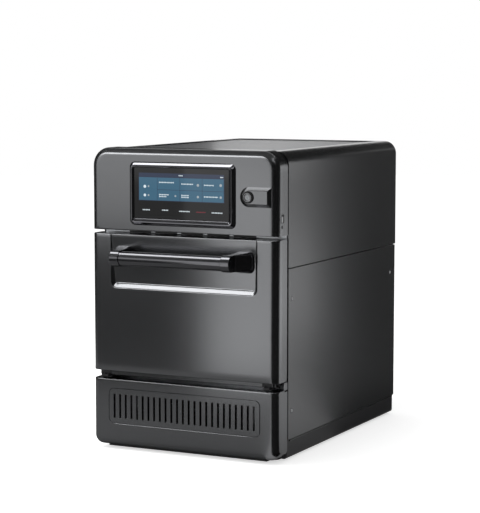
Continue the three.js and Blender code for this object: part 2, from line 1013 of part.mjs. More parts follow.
// Hinges: a bracket on the chassis and a leaf with its pin under the door, on each side
function buildHinge(side, name) {
  const x = side * hingeX;
  const across = (from, to) => {
    const ends = [x + side * from, x + side * to];
    return [Math.min(...ends), Math.max(...ends)];
  };
  const [bracketLeft, bracketRight] = across(-hinge.bracket / 2, hinge.bracket / 2);
  const eye = rodX(hinge.axisY, hingeZ, hinge.eye, bracketLeft, bracketRight, roundSteps);
  const arm = box(
    bracketLeft,
    bracketRight,
    hinge.axisY,
    bodyFront - clearance,
    hingeZ - hinge.eye,
    hingeZ + hinge.armRise,
  );
  const [anchorLeft, anchorRight] = across(-hinge.anchorHalf, hinge.anchorHalf);
  const anchor = box(
    anchorLeft,
    anchorRight,
    bodyFront - clearance - hinge.anchorSheet,
    bodyFront - clearance,
    hingeZ - hinge.eye,
    hingeZ + hinge.anchorHeight,
  );
  const free = hinge.pin + hinge.running;
  const bore = rodX(hinge.axisY, hingeZ, free, bracketLeft - overrun, bracketRight + overrun);
  place("hinge_bracket_" + name, union([eye, arm, anchor]).subtract(bore), darkSteel);

  const [blockLeft, blockRight] = across(-hinge.blockHalf, hinge.blockHalf);
  const blockLow = lipTop - hinge.blockHeight;
  const block = box(blockLeft, blockRight, door.lipInset, doorSkinDepth, blockLow, lipTop);
  const offset = hinge.bracket / 2 + hinge.earGap;
  const ears = [-1, 1].map((way) => {
    const [left, right] = across(way * offset, way * (offset + hinge.ear));
    const knuckle = rodX(hinge.axisY, hingeZ, hinge.earRadius, left, right, roundSteps);
    const web = box(
      left,
      right,
      hinge.axisY - hinge.pin,
      hinge.axisY + hinge.earRun,
      hingeZ,
      blockLow + clearance,
    );
    return knuckle.add(web);
  });
  const [pinLeft, pinRight] = across(-offset - hinge.ear, offset + hinge.ear);
  const pin = rodX(hinge.axisY, hingeZ, hinge.pin, pinLeft, pinRight, roundSteps);
  place("hinge_leaf_" + name, union([block, pin, ...ears]), darkSteel);
}

// Door latch hooks, and the interlock switches that they reach behind the chassis
function buildLatch(side, name) {
  const left = side * latchX - latch.width / 2;
  const right = left + latch.width;
  const near = doorBack + clearance;
  const far = near + latch.reach;
  const hook = box(left, right, near, far, latchZ, latchZ + latch.height);
  const notch = box(
    left - overrun,
    right + overrun,
    far - 2 * latch.notch,
    far - latch.notch,
    latchZ + latch.height - latch.notch,
    latchZ + latch.height + overrun,
  );
  place("latch_hook_" + name, hook.subtract(notch), darkSteel);
  const low = latchZ + latch.height + latch.lift + interlock.above;
  const wide = interlock.width / 2;
  const block = box(
    side * latchX - wide,
    side * latchX + wide,
    behindFrame,
    behindFrame + interlock.depth,
    low,
    low + interlock.height,
  );
  place("interlock_switch_" + name, block, satinBlack);
}

// Lower front panel with its slotted air intake. An ear rises from each side
// flange beside the hinge, with a hollow curve at its foot.
function panelEar(side) {
  const near = front.depth - lowerPanel.earDepth;
  const top = panelTop + lowerPanel.earHeight;
  const root = panelTop - front.sheet;
  const shape = new THREE.Shape();
  shape.moveTo(front.depth, root);
  shape.lineTo(front.depth, top);
  shape.lineTo(near, top);
  shape.lineTo(near, panelTop + lowerPanel.footRise);
  shape.quadraticCurveTo(near, panelTop, near - lowerPanel.footRun, panelTop);
  shape.lineTo(near - lowerPanel.footRun, root);
  const inner = side * (half - front.sheet);
  const outer = side * half;
  return alongX(shape, Math.min(inner, outer), Math.max(inner, outer));
}

function buildLowerPanel() {
  const shell = frontShell(front.bottom, panelTop, front.depth);
  const window = outline(
    -intakeHalf - intake.groove,
    intakeHalf + intake.groove,
    intakeBottom - intake.groove,
    intakeTop + intake.groove,
    intake.corner + intake.groove,
  );
  const tabs = mountingTabs(base.height + front.sheet, panelTop - front.sheet / 2).map((tab) =>
    tab.intersect(box(-half, half, intake.sheet + intake.flange, bodyFront, 0, bodyTop)),
  );
  const ears = [-1, 1].map(panelEar);
  const body = union([shell, ...tabs, ...ears]);
  place("lower_front_panel", body.subtract(alongY(window, -overrun, front.sheet)), blackCoat);

  const face = outline(-intakeHalf, intakeHalf, intakeBottom, intakeTop, intake.corner);
  const flange = outline(
    -intakeHalf - intake.flange,
    intakeHalf + intake.flange,
    intakeBottom - intake.flange,
    intakeTop + intake.flange,
    intake.corner + intake.flange,
  );
  const flangeNear = front.sheet + clearance;
  const rim = alongY(flange, flangeNear, flangeNear + intake.flangeSheet);
  const plate = alongY(face, 0, intake.sheet).add(rim);
  const low = intakeBottom + intake.slotInset;
  const high = intakeTop - intake.slotInset;
  const wide = intake.slotWidth / 2;
  const gaps = Math.floor((2 * intakeHalf - 2 * intake.slotSide) / intake.slotPitch);
  const slots = [];
  for (let i = 0; i <= gaps; i++) {
    const x = (i - gaps / 2) * intake.slotPitch;
    slots.push(box(x - wide, x + wide, -overrun, overrun, low, high));
  }
  place("intake_grille", without(plate, slots), blackCoat);
}

// Covers: side panels below, one bent sheet above with the vent grille in its roof
function buildCovers() {
  const seamHigh = coverSeam + cover.seamGap;
  const sideRear = bodyRear - base.rearInset;
  const sideLow = base.height + clearance;
  const hem = box(
    coverInner - cover.hem,
    coverInner + cover.sheet / 2,
    bodyFront,
    sideRear,
    coverSeam - cover.sheet,
    coverSeam,
  );
  const right = box(coverInner, half, bodyFront, sideRear, sideLow, coverSeam).add(hem);
  place("side_panel_right", right, blackCoat);
  place("side_panel_left", right.mirror([1, 0, 0]), blackCoat);

  const outer = outline(-half, half, seamHigh - overrun, bodyTop, 0, cover.shoulder);
  const inner = outline(
    -coverInner,
    coverInner,
    seamHigh - 2 * overrun,
    bodyTop - cover.sheet,
    0,
    cover.shoulder - cover.sheet,
  );
  const bent = alongY(outer, bodyFront, bodyRear).subtract(alongY(inner, 0, bodyRear + overrun));
  const skirts = box(-half, half, 0, bodyRear + overrun, 0, seamHigh);
  const ventHalf = half - cover.ventSide;
  const ventFront = bodyFront + cover.ventFront;
  const ventRear = bodyRear - cover.ventRear;
  const roofWindow = box(-ventHalf, ventHalf, ventFront, ventRear, bodyTop - overrun, bodyTop + overrun);
  place("upper_cover", without(bent, [skirts, roofWindow]), blackCoat);

  const wide = ventHalf + vent.flange;
  const top = bodyTop - cover.sheet - clearance;
  const plate = box(-wide, wide, ventFront - vent.flange, ventRear + vent.flange, top - vent.sheet, top);
  const rows = Math.floor((ventRear - ventFront - vent.slotWidth) / vent.slotPitch);
  const slots = [];
  for (let row = 0; row <= rows; row++) {
    const y = (ventFront + ventRear) / 2 + (row - rows / 2) * vent.slotPitch;
    const deep = vent.slotWidth / 2;
    for (const side of [-1, 1]) {
      const inner = (side * vent.bar) / 2;
      const outer = side * (ventHalf - vent.slotInset);
      const [left, right] = [Math.min(inner, outer), Math.max(inner, outer)];
      slots.push(box(left, right, y - deep, y + deep, top - overrun, top + overrun));
    }
  }
  place("top_vent_grille", plate.subtract(union(slots)), stainless);
}

// Base pan with rounded lower edges, its front tongue and four feet
function buildBase() {
  const out = half - base.inset;
  const far = bodyRear - base.rearInset;
  const section = outline(-out, out, foot.height, base.height + overrun, base.edge, 0);
  const hollow = outline(
    base.sheet - out,
    out - base.sheet,
    baseFloor,
    base.height + 2 * overrun,
    base.edge - base.sheet,
    0,
  );
  const inside = alongY(hollow, bodyFront + base.sheet, far - base.sheet);
  const pan = alongY(section, bodyFront, far).subtract(inside);
  const tongueHigh = front.bottom - clearance;
  const tongueHalf = half - base.tongueSide;
  const tongue = box(
    -tongueHalf,
    tongueHalf,
    base.tongueFront,
    bodyFront + base.sheet,
    foot.height,
    tongueHigh,
  );
  const slots = [];
  for (let i = 0; i < base.slots; i++) {
    const y = bodyRear - base.slotsAhead + i * base.slotPitch;
    const wide = base.slotWidth / 2;
    slots.push(box(-wide, wide, y, y + base.slotDepth, 0, base.height));
  }
  const above = box(-half, half, 0, bodyRear + overrun, base.height, bodyTop);
  place("base_pan", without(pan.add(tongue), [above, ...slots]), darkCoat);

  const places = { front: foot.insetY, rear: bodyRear - foot.insetY };
  for (const [end, y] of Object.entries(places)) {
    for (const [name, side] of Object.entries({ left: -1, right: 1 })) {
      const x = side * (half - foot.insetX);
      const ring = (radius, z) =>
        circle(x, y, radius)
          .extractPoints(roundSteps)
          .shape.slice(1)
          .map((p) => new THREE.Vector3(p.x, p.y, z));
      const pad = loft([
        ring(foot.radius - foot.chamfer, 0),
        ring(foot.radius, foot.chamfer),
        ring(foot.radius, foot.height - clearance / 2),
      ]);
      place("foot_" + end + "_" + name, pad, rubber);
    }
  }
}

// Chassis: the plate behind the front pieces, the rear panel and the cable gland
function buildChassis() {
  const out = coverInner - chassis.inset;
  const low = base.height + clearance;
  const high = bodyTop - cover.sheet - clearance;
  const frame = outline(-out, out, low, high, 0, cover.shoulder);
  const plate = alongY(frame, bodyFront, bodyFront + chassis.sheet);
  const mouth = outline(-mouthHalf, mouthHalf, mouthBottom, mouthTop, plug.corner);
  const windowHalf = half - chassis.windowSide;
  const upper = outline(
    -windowHalf,
    windowHalf,
    bezelBottom + chassis.windowInset,
    bezelTop - chassis.windowInset,
    plug.corner,
  );
  const lower = outline(-windowHalf, windowHalf, intakeBottom, intakeTop, plug.corner);
  const windows = [mouth, upper, lower].map((shape) => alongY(shape, 0, bodyRear));
  const hookSlots = [-1, 1].map((side) =>
    box(
      side * latchX - chassis.hookSlotWidth / 2,
      side * latchX + chassis.hookSlotWidth / 2,
      0,
      bodyRear,
      latchZ - clearance,
      latchZ + latch.height + latch.lift,
    ),
  );
  place("front_frame", without(plate, [...windows, ...hookSlots]), stainless);

  const far = bodyRear - base.rearInset;
  const rearPlate = alongY(frame, far - rear.sheet, far);
  const slots = [];
  for (let i = 0; i < rear.slots; i++) {
    const z = bodyTop - rear.slotsDrop - i * rear.slotPitch;
    for (const side of [-1, 1]) {
      const x = side * rear.columnOffset;
      const wide = rear.slotWidth / 2;
      const shape = outline(x - wide, x + wide, z, z + rear.slotHeight);
      slots.push(alongY(shape, bodyFront, bodyRear + overrun));
    }
  }
  const glandX = gland.side - half;
  const glandZ = base.height + gland.rise;
  const glandHole = rodY(glandX, glandZ, gland.bodyRadius + clearance, bodyFront, bodyRear + overrun);
  place("rear_panel", without(rearPlate, [...slots, glandHole]), galvanised);

  const seat = far + clearance;
  const hex = rodY(glandX, glandZ, gland.hexRadius, seat, seat + gland.hexLength, hexSteps);
  const tubeNear = far - rear.sheet - gland.hexLength;
  const tube = rodY(glandX, glandZ, gland.bodyRadius, tubeNear, seat + gland.hexLength);
  const ring = (radius, y) => ringAt(circle(glandX, glandZ, radius), y, roundSteps);
  const nose = loft([
    ring(gland.bodyRadius, seat),
    ring(gland.bodyRadius, seat + gland.hexLength),
    ring(gland.noseRadius, rearReach),
  ]);
  const nut = rodY(
    glandX,
    glandZ,
    gland.hexRadius,
    far - rear.sheet - clearance - gland.hexLength,
    far - rear.sheet - clearance,
    hexSteps,
  );
  const bore = rodY(glandX, glandZ, gland.bore, bodyFront, bodyRear + 2 * overrun);
  place("cable_gland", union([hex, tube, nose, nut]).subtract(bore), satinBlack);
}

// Cavity: liner with shelf ribs, its insulation, and what carries it
function buildCavity() {
  const outer = box(-linerHalf, linerHalf, behindFrame, linerBack, linerBottom, linerTop);
  const flangeHalf = linerHalf + cavity.flange;
  const flange = box(
    -flangeHalf,
    flangeHalf,
    behindFrame,
    behindFrame + cavity.sheet,
    linerBottom - cavity.flange,
    linerTop + cavity.flange,
  );
  const inner = box(-cavityHalf, cavityHalf, 0, cavityBack, cavityFloor, cavityCeiling);
  const ribs = [-1, 1].map((side) => {
    const edge = side * (cavityHalf + cavity.sheet / 2);
    const tip = side * (cavityHalf - cavity.ribWidth);
    return box(
      Math.min(edge, tip),
      Math.max(edge, tip),
      behindFrame + tray.setback,
      cavityBack - tray.rearSpace,
      ribTop - cavity.ribThickness,
      ribTop,
    );
  });
  const inlet = rodY(0, blowerZ, cavity.inletRadius, 0, bodyRear);
  const port = rodZ(0, guideRear - guide.portBack, guide.half / 2, cavityCeiling - overrun, bodyTop);
  const liner = union([outer.add(flange).subtract(inner), ...ribs]);
  place("cavity_liner", without(liner, [inlet, port]), stainless);

  const blanketHalf = linerHalf + clearance + insulation.thickness;
  const blanketTop = linerTop + clearance + insulation.thickness;
  const supportTop = linerBottom - clearance;
  const blanket = box(-blanketHalf, blanketHalf, jacketFront, linerBack, linerBottom, blanketTop);
  const core = box(
    -linerHalf - clearance,
    linerHalf + clearance,
    0,
    bodyRear,
    0,
    linerTop + clearance,
  );
  const duct = box(
    -guide.half - clearance,
    guide.half + clearance,
    guideFront - clearance,
    guideRear + clearance,
    linerTop,
    bodyTop,
  );
  place("insulation_jacket", without(blanket, [core, duct]), wool);

  const shelfTop = shelfLow + shelf.sheet;
  const shelfHalf = coverInner - clearance;
  const shelfRear = bodyRear - base.rearInset - rear.sheet - clearance;
  const plate = box(-shelfHalf, shelfHalf, behindFrame, shelfRear, shelfLow, shelfTop);
  const holeRear = bodyRear - shelf.holeAhead;
  const hole = box(-shelf.holeHalf, shelf.holeHalf, holeRear - shelf.holeDepth, holeRear, 0, bodyTop);
  place("component_shelf", plate.subtract(hole), galvanised);

  for (const [name, side] of Object.entries({ left: -1, right: 1 })) {
    const x = side * (cavityHalf - support.side);
    const wide = support.width / 2;
    const channel = box(x - wide, x + wide, jacketFront, linerBack, shelfTop + clearance, supportTop);
    const hollow = box(
      x - wide + support.sheet,
      x + wide - support.sheet,
      0,
      bodyRear,
      shelfTop + clearance + support.sheet,
      supportTop - support.sheet,
    );
    place("cavity_support_" + name, channel.subtract(hollow), galvanised);
  }
}

// Cavity fittings: cook plate, the two perforated jet plates and the blower inlet grille
function jetPlate(faceLow, faceHigh, wallLow, wallHigh) {
  const wide = cavityHalf - jet.side;
  const near = behindFrame + jet.setback;
  const far = cavityBack - jet.rearSpace;
  const face = box(-wide, wide, near, far, faceLow, faceHigh);
  const rim = box(-wide, wide, near, far, wallLow, wallHigh).subtract(
    box(
      jet.sheet - wide,
      wide - jet.sheet,
      near + jet.sheet,
      far - jet.sheet,
      wallLow - overrun,
      wallHigh + overrun,
    ),
  );
  const holes = [];
  const middle = (near + far) / 2;
  for (let column = 0; column < jet.columns; column++) {
    for (let row = 0; row < jet.rows; row++) {
      const x = (column - (jet.columns - 1) / 2) * jet.pitch;
      const y = middle + (row - (jet.rows - 1) / 2) * jet.pitch;
      holes.push(rodZ(x, y, jet.holeRadius, faceLow - overrun, faceHigh + overrun, holeSteps));
    }
  }
  return face.subtract(union(holes)).add(rim);
}

function buildFittings() {
  const lowerFace = cavityFloor + clearance + jet.drop;
  const lower = jetPlate(lowerFace, lowerFace + jet.sheet, cavityFloor + clearance, lowerFace + jet.sheet);
  place("lower_jet_plate", lower, stainless);
  const upperFace = cavityCeiling - clearance - jet.drop;
  const upperLow = upperFace - jet.sheet;
  const upper = jetPlate(upperLow, upperFace, upperLow, cavityCeiling - clearance);
  place("upper_jet_plate", upper, stainless);

  const seat = ribTop + clearance;
  const trayHalf = cavityHalf - tray.side;
  const near = behindFrame + tray.setback;
  const far = cavityBack - tray.rearSpace;
  const pan = box(-trayHalf, trayHalf, near, far, seat, seat + tray.rim);
  const well = box(
    tray.sheet - trayHalf,
    trayHalf - tray.sheet,
    near + tray.sheet,
    far - tray.sheet,
    seat + tray.sheet,
    seat + tray.rim + overrun,
  );
  place("cook_plate", pan.subtract(well), darkSteel);

  const grilleFar = cavityBack - clearance;
  const grilleNear = grilleFar - inletGrille.sheet;
  const disc = rodY(0, blowerZ, inletGrille.radius, grilleNear, grilleFar);
  const opening = rodY(0, blowerZ, inletGrille.radius - inletGrille.rim, 0, bodyRear);
  const bars = [];
  const count = Math.floor(inletGrille.radius / inletGrille.pitch);
  for (let i = -count; i <= count; i++) {
    const z = blowerZ + i * inletGrille.pitch;
    const wide = inletGrille.slotWidth / 2;
    bars.push(box(-inletGrille.radius, inletGrille.radius, 0, bodyRear, z - wide, z + wide));
  }
  place("blower_inlet_grille", disc.subtract(union(bars).intersect(opening)), stainless);
}

// Hot-air blower: housing, wheel on its shaft, motor and the heater loop round the wheel
function bladeForm(angle) {
  const shape = new THREE.Shape();
  const reach = blower.wheelRadius - blower.discSheet;
  const bow = (reach - blower.bladeInner) / 2;
  const sheet = blower.bladeSheet;
  shape.moveTo(blower.bladeInner, 0);
  shape.quadraticCurveTo(blower.bladeInner + bow, 0, reach - sheet, bow);
  shape.lineTo(reach, bow - sheet / 2);
  shape.quadraticCurveTo(blower.bladeInner + bow, -sheet, blower.bladeInner, -sheet);
  const geometry = new THREE.ExtrudeGeometry(shape, {
    depth: blower.wheelDepth - blower.discSheet,
    bevelEnabled: false,
    curveSegments: bladeSteps,
  });
  geometry.rotateX(Math.PI / 2);
  geometry.translate(0, wheelFar - blower.discSheet / 2, 0);
  geometry.rotateY(angle);
  geometry.translate(0, 0, blowerZ);
  return solid(geometry);
}

function buildBlower() {
  const z = blowerZ;
  const shape = outline(-blower.half, blower.half, z - blower.boxHalf, z + blower.boxHalf, blower.corner);
  const innerShape = outline(
    blower.sheet - blower.half,
    blower.half - blower.sheet,
    z - blower.boxHalf + blower.sheet,
    z + blower.boxHalf - blower.sheet,
    blower.corner - blower.sheet,
  );
  const inside = alongY(innerShape, 0, housingFar - blower.sheet);
  const shell = alongY(shape, housingNear, housingFar).subtract(inside);
  const shaftHole = rodY(0, z, blower.shaftRadius + 2 * clearance, 0, bodyRear);
  const legs = [-1, 1].map((side) => {
    const angle = Math.PI / 2 + side * heater.legAngle;
    const x = heater.ring * Math.cos(angle);
    return rodY(x, z + heater.ring * Math.sin(angle), heater.tube + clearance, 0, bodyRear, holeSteps);
  });
  place("blower_housing", without(shell, [shaftHole, ...legs]), stainless);

  const disc = rodY(0, z, blower.wheelRadius, wheelFar - blower.discSheet, wheelFar);
  const ringInner = blower.wheelRadius - blower.ringWidth;
  const ring = rodY(0, z, blower.wheelRadius, wheelNear, wheelNear + blower.discSheet).subtract(
    rodY(0, z, ringInner, 0, bodyRear),
  );
  const hub = rodY(0, z, blower.hubRadius, wheelFar - blower.wheelDepth / 2, wheelFar);
  const motorNear = housingFar + clearance;
  const shaftEnd = motorNear + blower.shaftInMotor;
  const shaft = rodY(0, z, blower.shaftRadius, wheelFar - blower.discSheet, shaftEnd);
  const blades = [];
  for (let i = 0; i < blower.blades; i++) {
    blades.push(bladeForm((i * 2 * Math.PI) / blower.blades));
  }
  place("blower_wheel", union([disc, ring, hub, shaft, ...blades]), stainless);

  const can = rodY(0, z, blower.motorRadius, motorNear, motorNear + blower.motorLength - blower.motorStep);
  const bellRadius = blower.motorRadius - blower.motorFootSheet;
  const bell = rodY(0, z, bellRadius, motorNear, motorNear + blower.motorLength);
  const footShape = outline(
    -blower.motorFoot,
    blower.motorFoot,
    z - blower.motorRadius / 2,
    z + blower.motorRadius / 2,
    blower.motorFootCorner,
  );
  const footPlate = alongY(footShape, motorNear, motorNear + blower.motorFootSheet);
  const bore = rodY(0, z, blower.shaftRadius + clearance, 0, shaftEnd + clearance);
  place("blower_motor", union([can, bell, footPlate]).subtract(bore), aluminium);

  const ringY = wheelNear + heater.behindWheel;
  const start = Math.PI / 2 + heater.legAngle;
  const turn = 2 * Math.PI - 2 * heater.legAngle;
  const points = [];
  const legPoint = (angle, y) =>
    new THREE.Vector3(heater.ring * Math.cos(angle), y, z + heater.ring * Math.sin(angle));
  const legEnd = ringY + heater.legLength + blower.sheet + clearance;
  points.push(legPoint(start, legEnd), legPoint(start, (ringY + legEnd) / 2));
  for (let i = 0; i <= 2 * arcSteps; i++) {
    points.push(legPoint(start + (i * turn) / (2 * arcSteps), ringY));
  }
  points.push(legPoint(start + turn, (ringY + legEnd) / 2), legPoint(start + turn, legEnd));
  const route = new THREE.CatmullRomCurve3(points, false, "chordal");
  const geometry = new THREE.ExtrudeGeometry(circle(0, 0, heater.tube), {
    steps: tubeSteps,
    curveSegments: holeSteps,
    bevelEnabled: false,
    extrudePath: route,
  });
  place("heater_element", solid(geometry), darkSteel);
}

// Microwave parts above the cavity: waveguide duct and magnetron
function buildMicrowave() {
  const low = linerTop + clearance;
  const high = low + guide.height;
  const duct = box(-guide.half, guide.half, guideFront, guideRear, low, high);
  const inner = box(
    guide.sheet - guide.half,
    guide.half - guide.sheet,
    guideFront + guide.sheet,
    guideRear - guide.sheet,
    low + guide.sheet,
    high - guide.sheet,
  );
  const mouth = rodZ(0, guideRear - guide.portBack, guide.half / 2, 0, low + guide.height / 2);
  const antennaY = guideFront + magnetron.half;
  const antennaHole = rodZ(0, antennaY, guide.portRadius, high - guide.height / 2, bodyTop);
  place("waveguide", without(duct, [inner, mouth, antennaHole]), aluminium);

  const seat = high + clearance;
  const core = box(
    -magnetron.half,
    magnetron.half,
    antennaY - magnetron.depth / 2,
    antennaY + magnetron.depth / 2,
    seat,
    seat + magnetron.height,
  );
  const grooves = [];
  const count = Math.floor((magnetron.height - magnetron.finPitch) / magnetron.finPitch);
  for (let i = 0; i < count; i++) {
    const z = seat + magnetron.finPitch * (i + 1);
    for (const side of [-1, 1]) {
      const edge = side * (magnetron.half + overrun);
      const root = side * (magnetron.half - magnetron.finRun);
      grooves.push(
        box(
          Math.min(edge, root),
          Math.max(edge, root),
          0,
          bodyRear,
          z,
          z + magnetron.finPitch - magnetron.finSheet,
        ),
      );
    }
  }
  const tip = high - guide.height / 2;
  const antenna = rodZ(0, antennaY, magnetron.antennaRadius, tip, seat + magnetron.height / 2);
  place("magnetron", without(core, grooves).add(antenna), copper);
}

// Power parts on the base floor: transformer, capacitor and power board
function buildPower() {
  const seat = baseFloor + clearance;
  const wide = transformer.coreWidth / 2;
  const deep = transformer.coreDepth / 2;
  const x = transformerX;
  const { y } = transformer;
  const core = box(x - wide, x + wide, y - deep, y + deep, seat, seat + transformer.coreHeight);
  const coil = box(
    x - wide + transformer.coilInset,
    x + wide - transformer.coilInset,
    y - deep - transformer.coilRun,
    y + deep + transformer.coilRun,
    seat + transformer.coilInset,
    seat + transformer.coreHeight - transformer.coilInset,
  );
  place("hv_transformer", core.add(coil), copper);

  const can = rodY(
    capacitorX,
    seat + capacitor.radius,
    capacitor.radius,
    capacitor.y - capacitor.length / 2,
    capacitor.y + capacitor.length / 2,
  );
  const terminals = [-1, 1].map((side) =>
    rodY(
      capacitorX + (side * capacitor.radius) / 2,
      seat + capacitor.radius,
      capacitor.terminalRadius,
      capacitor.y - capacitor.length / 2 - capacitor.terminal,
      capacitor.y,
      holeSteps,
    ),
  );
  place("hv_capacitor", union([can, ...terminals]), aluminium);

  const left = boardX - powerBoard.width / 2;
  const right = boardX + powerBoard.width / 2;
  const near = powerBoard.y - powerBoard.depth / 2;
  const far = powerBoard.y + powerBoard.depth / 2;
  const boardLow = seat + powerBoard.standoff;
  const plate = box(left, right, near, far, boardLow, boardLow + powerBoard.sheet);
  const inset = powerBoard.standoff;
  const postHigh = boardLow + powerBoard.sheet / 2;
  const posts = [
    [left + inset, near + inset],
    [right - inset, near + inset],
    [left + inset, far - inset],
    [right - inset, far - inset],
  ].map(([px, py]) => rodZ(px, py, powerBoard.standoff / 2, seat, postHigh, holeSteps));
  const blocks = [-1, 1].map((side) => {
    const by = powerBoard.y + (side * powerBoard.depth) / 4;
    const reach = powerBoard.blockSide / 2;
    return box(
      boardX - reach,
      boardX + reach,
      by - reach,
      by + reach,
      boardLow,
      boardLow + powerBoard.blockHeight,
    );
  });
  place("power_board", union([plate, ...posts, ...blocks]), board);
}

// Cooling fan behind the intake: a square frame with struts and pin, and a bladed rotor
function fanBlade(index, near) {
  const angle = (index * 2 * Math.PI) / fan.blades;
  const rings = [fan.hubRadius / 2, fan.bladeRadius].map((radius, step) => {
    const pitchAngle = Math.PI / 4 - (step * Math.PI) / 10;
    const run = fan.bladeChord * Math.cos(pitchAngle);
    const rise = fan.bladeChord * Math.sin(pitchAngle);
    const sheet = fan.bladeSheet;
    const middle = near + fan.hubDepth / 2;
    const corners = [
      [-run / 2, middle - rise / 2],
      [run / 2, middle + rise / 2],
      [run / 2, middle + rise / 2 + sheet],
      [-run / 2, middle - rise / 2 + sheet],
    ];
    return corners.map(([across, y]) => new THREE.Vector3(across, y, radius));
  });
  const turn = new THREE.Matrix4().makeRotationY(angle);
  const shift = new THREE.Vector3(fan.x, 0, fanCentre);
  return loft(rings.map((ring) => ring.map((point) => point.clone().applyMatrix4(turn).add(shift))));
}

function buildFan() {
  const z = fanCentre;
  const reach = fan.size / 2;
  const near = behindFrame + fan.setback;
  const far = near + fan.depth;
  const square = outline(fan.x - reach, fan.x + reach, z - reach, z + reach, fan.corner);
  const duct = rodY(fan.x, z, fan.duct, 0, bodyRear);
  const frame = alongY(square, near, far).subtract(duct);
  const strutNear = far - fan.strutDepth;
  const mount = rodY(fan.x, z, fan.hubRadius, strutNear, far);
  const wide = fan.strutWidth / 2;
  const struts = [
    box(fan.x - fan.duct - wide, fan.x + fan.duct + wide, strutNear, far, z - wide, z + wide),
    box(fan.x - wide, fan.x + wide, strutNear, far, z - fan.duct - wide, z + fan.duct + wide),
  ];
  const hubFar = strutNear - 2 * fan.running;
  const hubNear = hubFar - fan.hubDepth;
  const pin = rodY(fan.x, z, fan.pinRadius, hubNear + fan.bladeSheet + fan.running, far);
  place("fan_frame", union([frame, mount, pin, ...struts]), satinBlack);

  const hub = rodY(fan.x, z, fan.hubRadius, hubNear, hubFar);
  const blades = [];
  for (let i = 0; i < fan.blades; i++) {
    blades.push(fanBlade(i, hubNear));
  }
  const bore = rodY(fan.x, z, fan.pinRadius + fan.running, hubNear + fan.bladeSheet, bodyRear);
  place("fan_rotor", union([hub, ...blades]).subtract(bore), satinBlack);
}

buildBase();
buildLowerPanel();
buildFascia();
buildScreen();
buildButton();
buildPort();
buildOutlet();
buildDoor();
buildHandle();
buildHinge(-1, "left");
buildHinge(1, "right");
buildLatch(-1, "left");
buildLatch(1, "right");
buildCovers();
buildChassis();
buildCavity();
buildFittings();
buildBlower();
buildMicrowave();
buildPower();
buildFan();

export default oven;
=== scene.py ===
"""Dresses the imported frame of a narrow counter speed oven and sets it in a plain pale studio."""

import json
from math import pi, radians

import bmesh
import bpy
import numpy as np
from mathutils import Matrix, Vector

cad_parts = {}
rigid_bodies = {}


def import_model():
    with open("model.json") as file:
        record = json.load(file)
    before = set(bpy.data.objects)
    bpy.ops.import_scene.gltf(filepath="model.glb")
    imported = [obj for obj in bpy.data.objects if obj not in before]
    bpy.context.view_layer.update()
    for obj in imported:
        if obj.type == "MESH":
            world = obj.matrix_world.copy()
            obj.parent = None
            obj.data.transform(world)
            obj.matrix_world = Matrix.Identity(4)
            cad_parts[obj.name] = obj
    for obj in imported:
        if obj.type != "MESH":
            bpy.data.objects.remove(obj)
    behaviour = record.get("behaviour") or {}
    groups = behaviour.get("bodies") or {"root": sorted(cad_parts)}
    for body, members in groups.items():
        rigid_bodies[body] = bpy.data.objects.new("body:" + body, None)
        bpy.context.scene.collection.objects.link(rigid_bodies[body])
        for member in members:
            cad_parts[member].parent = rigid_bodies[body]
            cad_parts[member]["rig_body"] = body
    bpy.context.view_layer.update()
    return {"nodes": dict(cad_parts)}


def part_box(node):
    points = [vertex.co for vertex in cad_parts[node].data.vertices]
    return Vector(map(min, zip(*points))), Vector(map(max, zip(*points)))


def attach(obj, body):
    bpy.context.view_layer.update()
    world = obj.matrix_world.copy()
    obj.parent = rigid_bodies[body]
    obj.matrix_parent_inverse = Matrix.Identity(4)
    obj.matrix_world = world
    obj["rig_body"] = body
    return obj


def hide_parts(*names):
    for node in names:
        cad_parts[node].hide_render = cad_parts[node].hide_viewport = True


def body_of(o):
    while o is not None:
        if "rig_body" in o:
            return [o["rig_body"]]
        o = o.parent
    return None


bl_info = {
    "name": "Counter Speed Oven",
    "version": (1, 0, 0),
    "blender": (4, 5, 0),
    "location": "3D View > Sidebar > Speed Oven",
    "description": "Builds the visible pieces of a narrow speed oven over its packed frame",
    "category": "Object",
}

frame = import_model()


def span(node, axis):
    """Low and high end of a node's box along an axis, in millimetres."""
    return tuple(corner["xyz".index(axis)] * 1000 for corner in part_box(node))


# Places in millimetres: x and z as in the frame, and depths behind the front plane
FRONT = span("door_skin", "y")[0]
SKIN_LOW, SKIN_HIGH = span("door_skin", "z")
PANEL_TOP = SKIN_LOW - 16.5
HALF = span("fascia_housing", "x")[1]
DOOR_DEPTH = 42.7
SHELL_DEPTH = 45.0
FOLD_RADIUS = 1.6
HOLE_SLOPE = 0.7
BUTTON = (140.7, 502.25)
BUTTON_HOLE = 11.5
BOSS_RADIUS, BOSS_END = 18.7, 186.5
SCREEN_HOLE = (-106.5, 106.5, 448.5, 556.0, 2.0)
GRILLE_HOLE = (-163.3, 163.3, 51.7, 121.2, 10.9)
BEZEL = (-113.5, 113.5, 441.5, 563.0)
PANE = (-101.5, 101.5, 454.5, 553.0)
PANE_FRONT, PANE_BACK = -4.5, -1.6
BAR_CENTRE = (0, -43.0, 380.7)
FORWARD, UP, RIGHT = (0, -1, 0), (0, 0, 1), (1, 0, 0)

# Rows of faces on each straight flange, the angle past which an edge stays crisp, and the distance in
# metres under which two points are one
FLANGE_STEPS = 3
CREASE = radians(36)
MERGE = 2e-6


def srgb(code):
    """Colour of a six-digit hex code as the linear numbers that a shader takes."""
    parts = np.array([int(code[i : i + 2], 16) for i in (0, 2, 4)]) / 255
    linear = np.where(parts <= 0.04045, parts / 12.92, ((parts + 0.055) / 1.055) ** 2.4)
    return (*linear.tolist(), 1.0)


# Settings


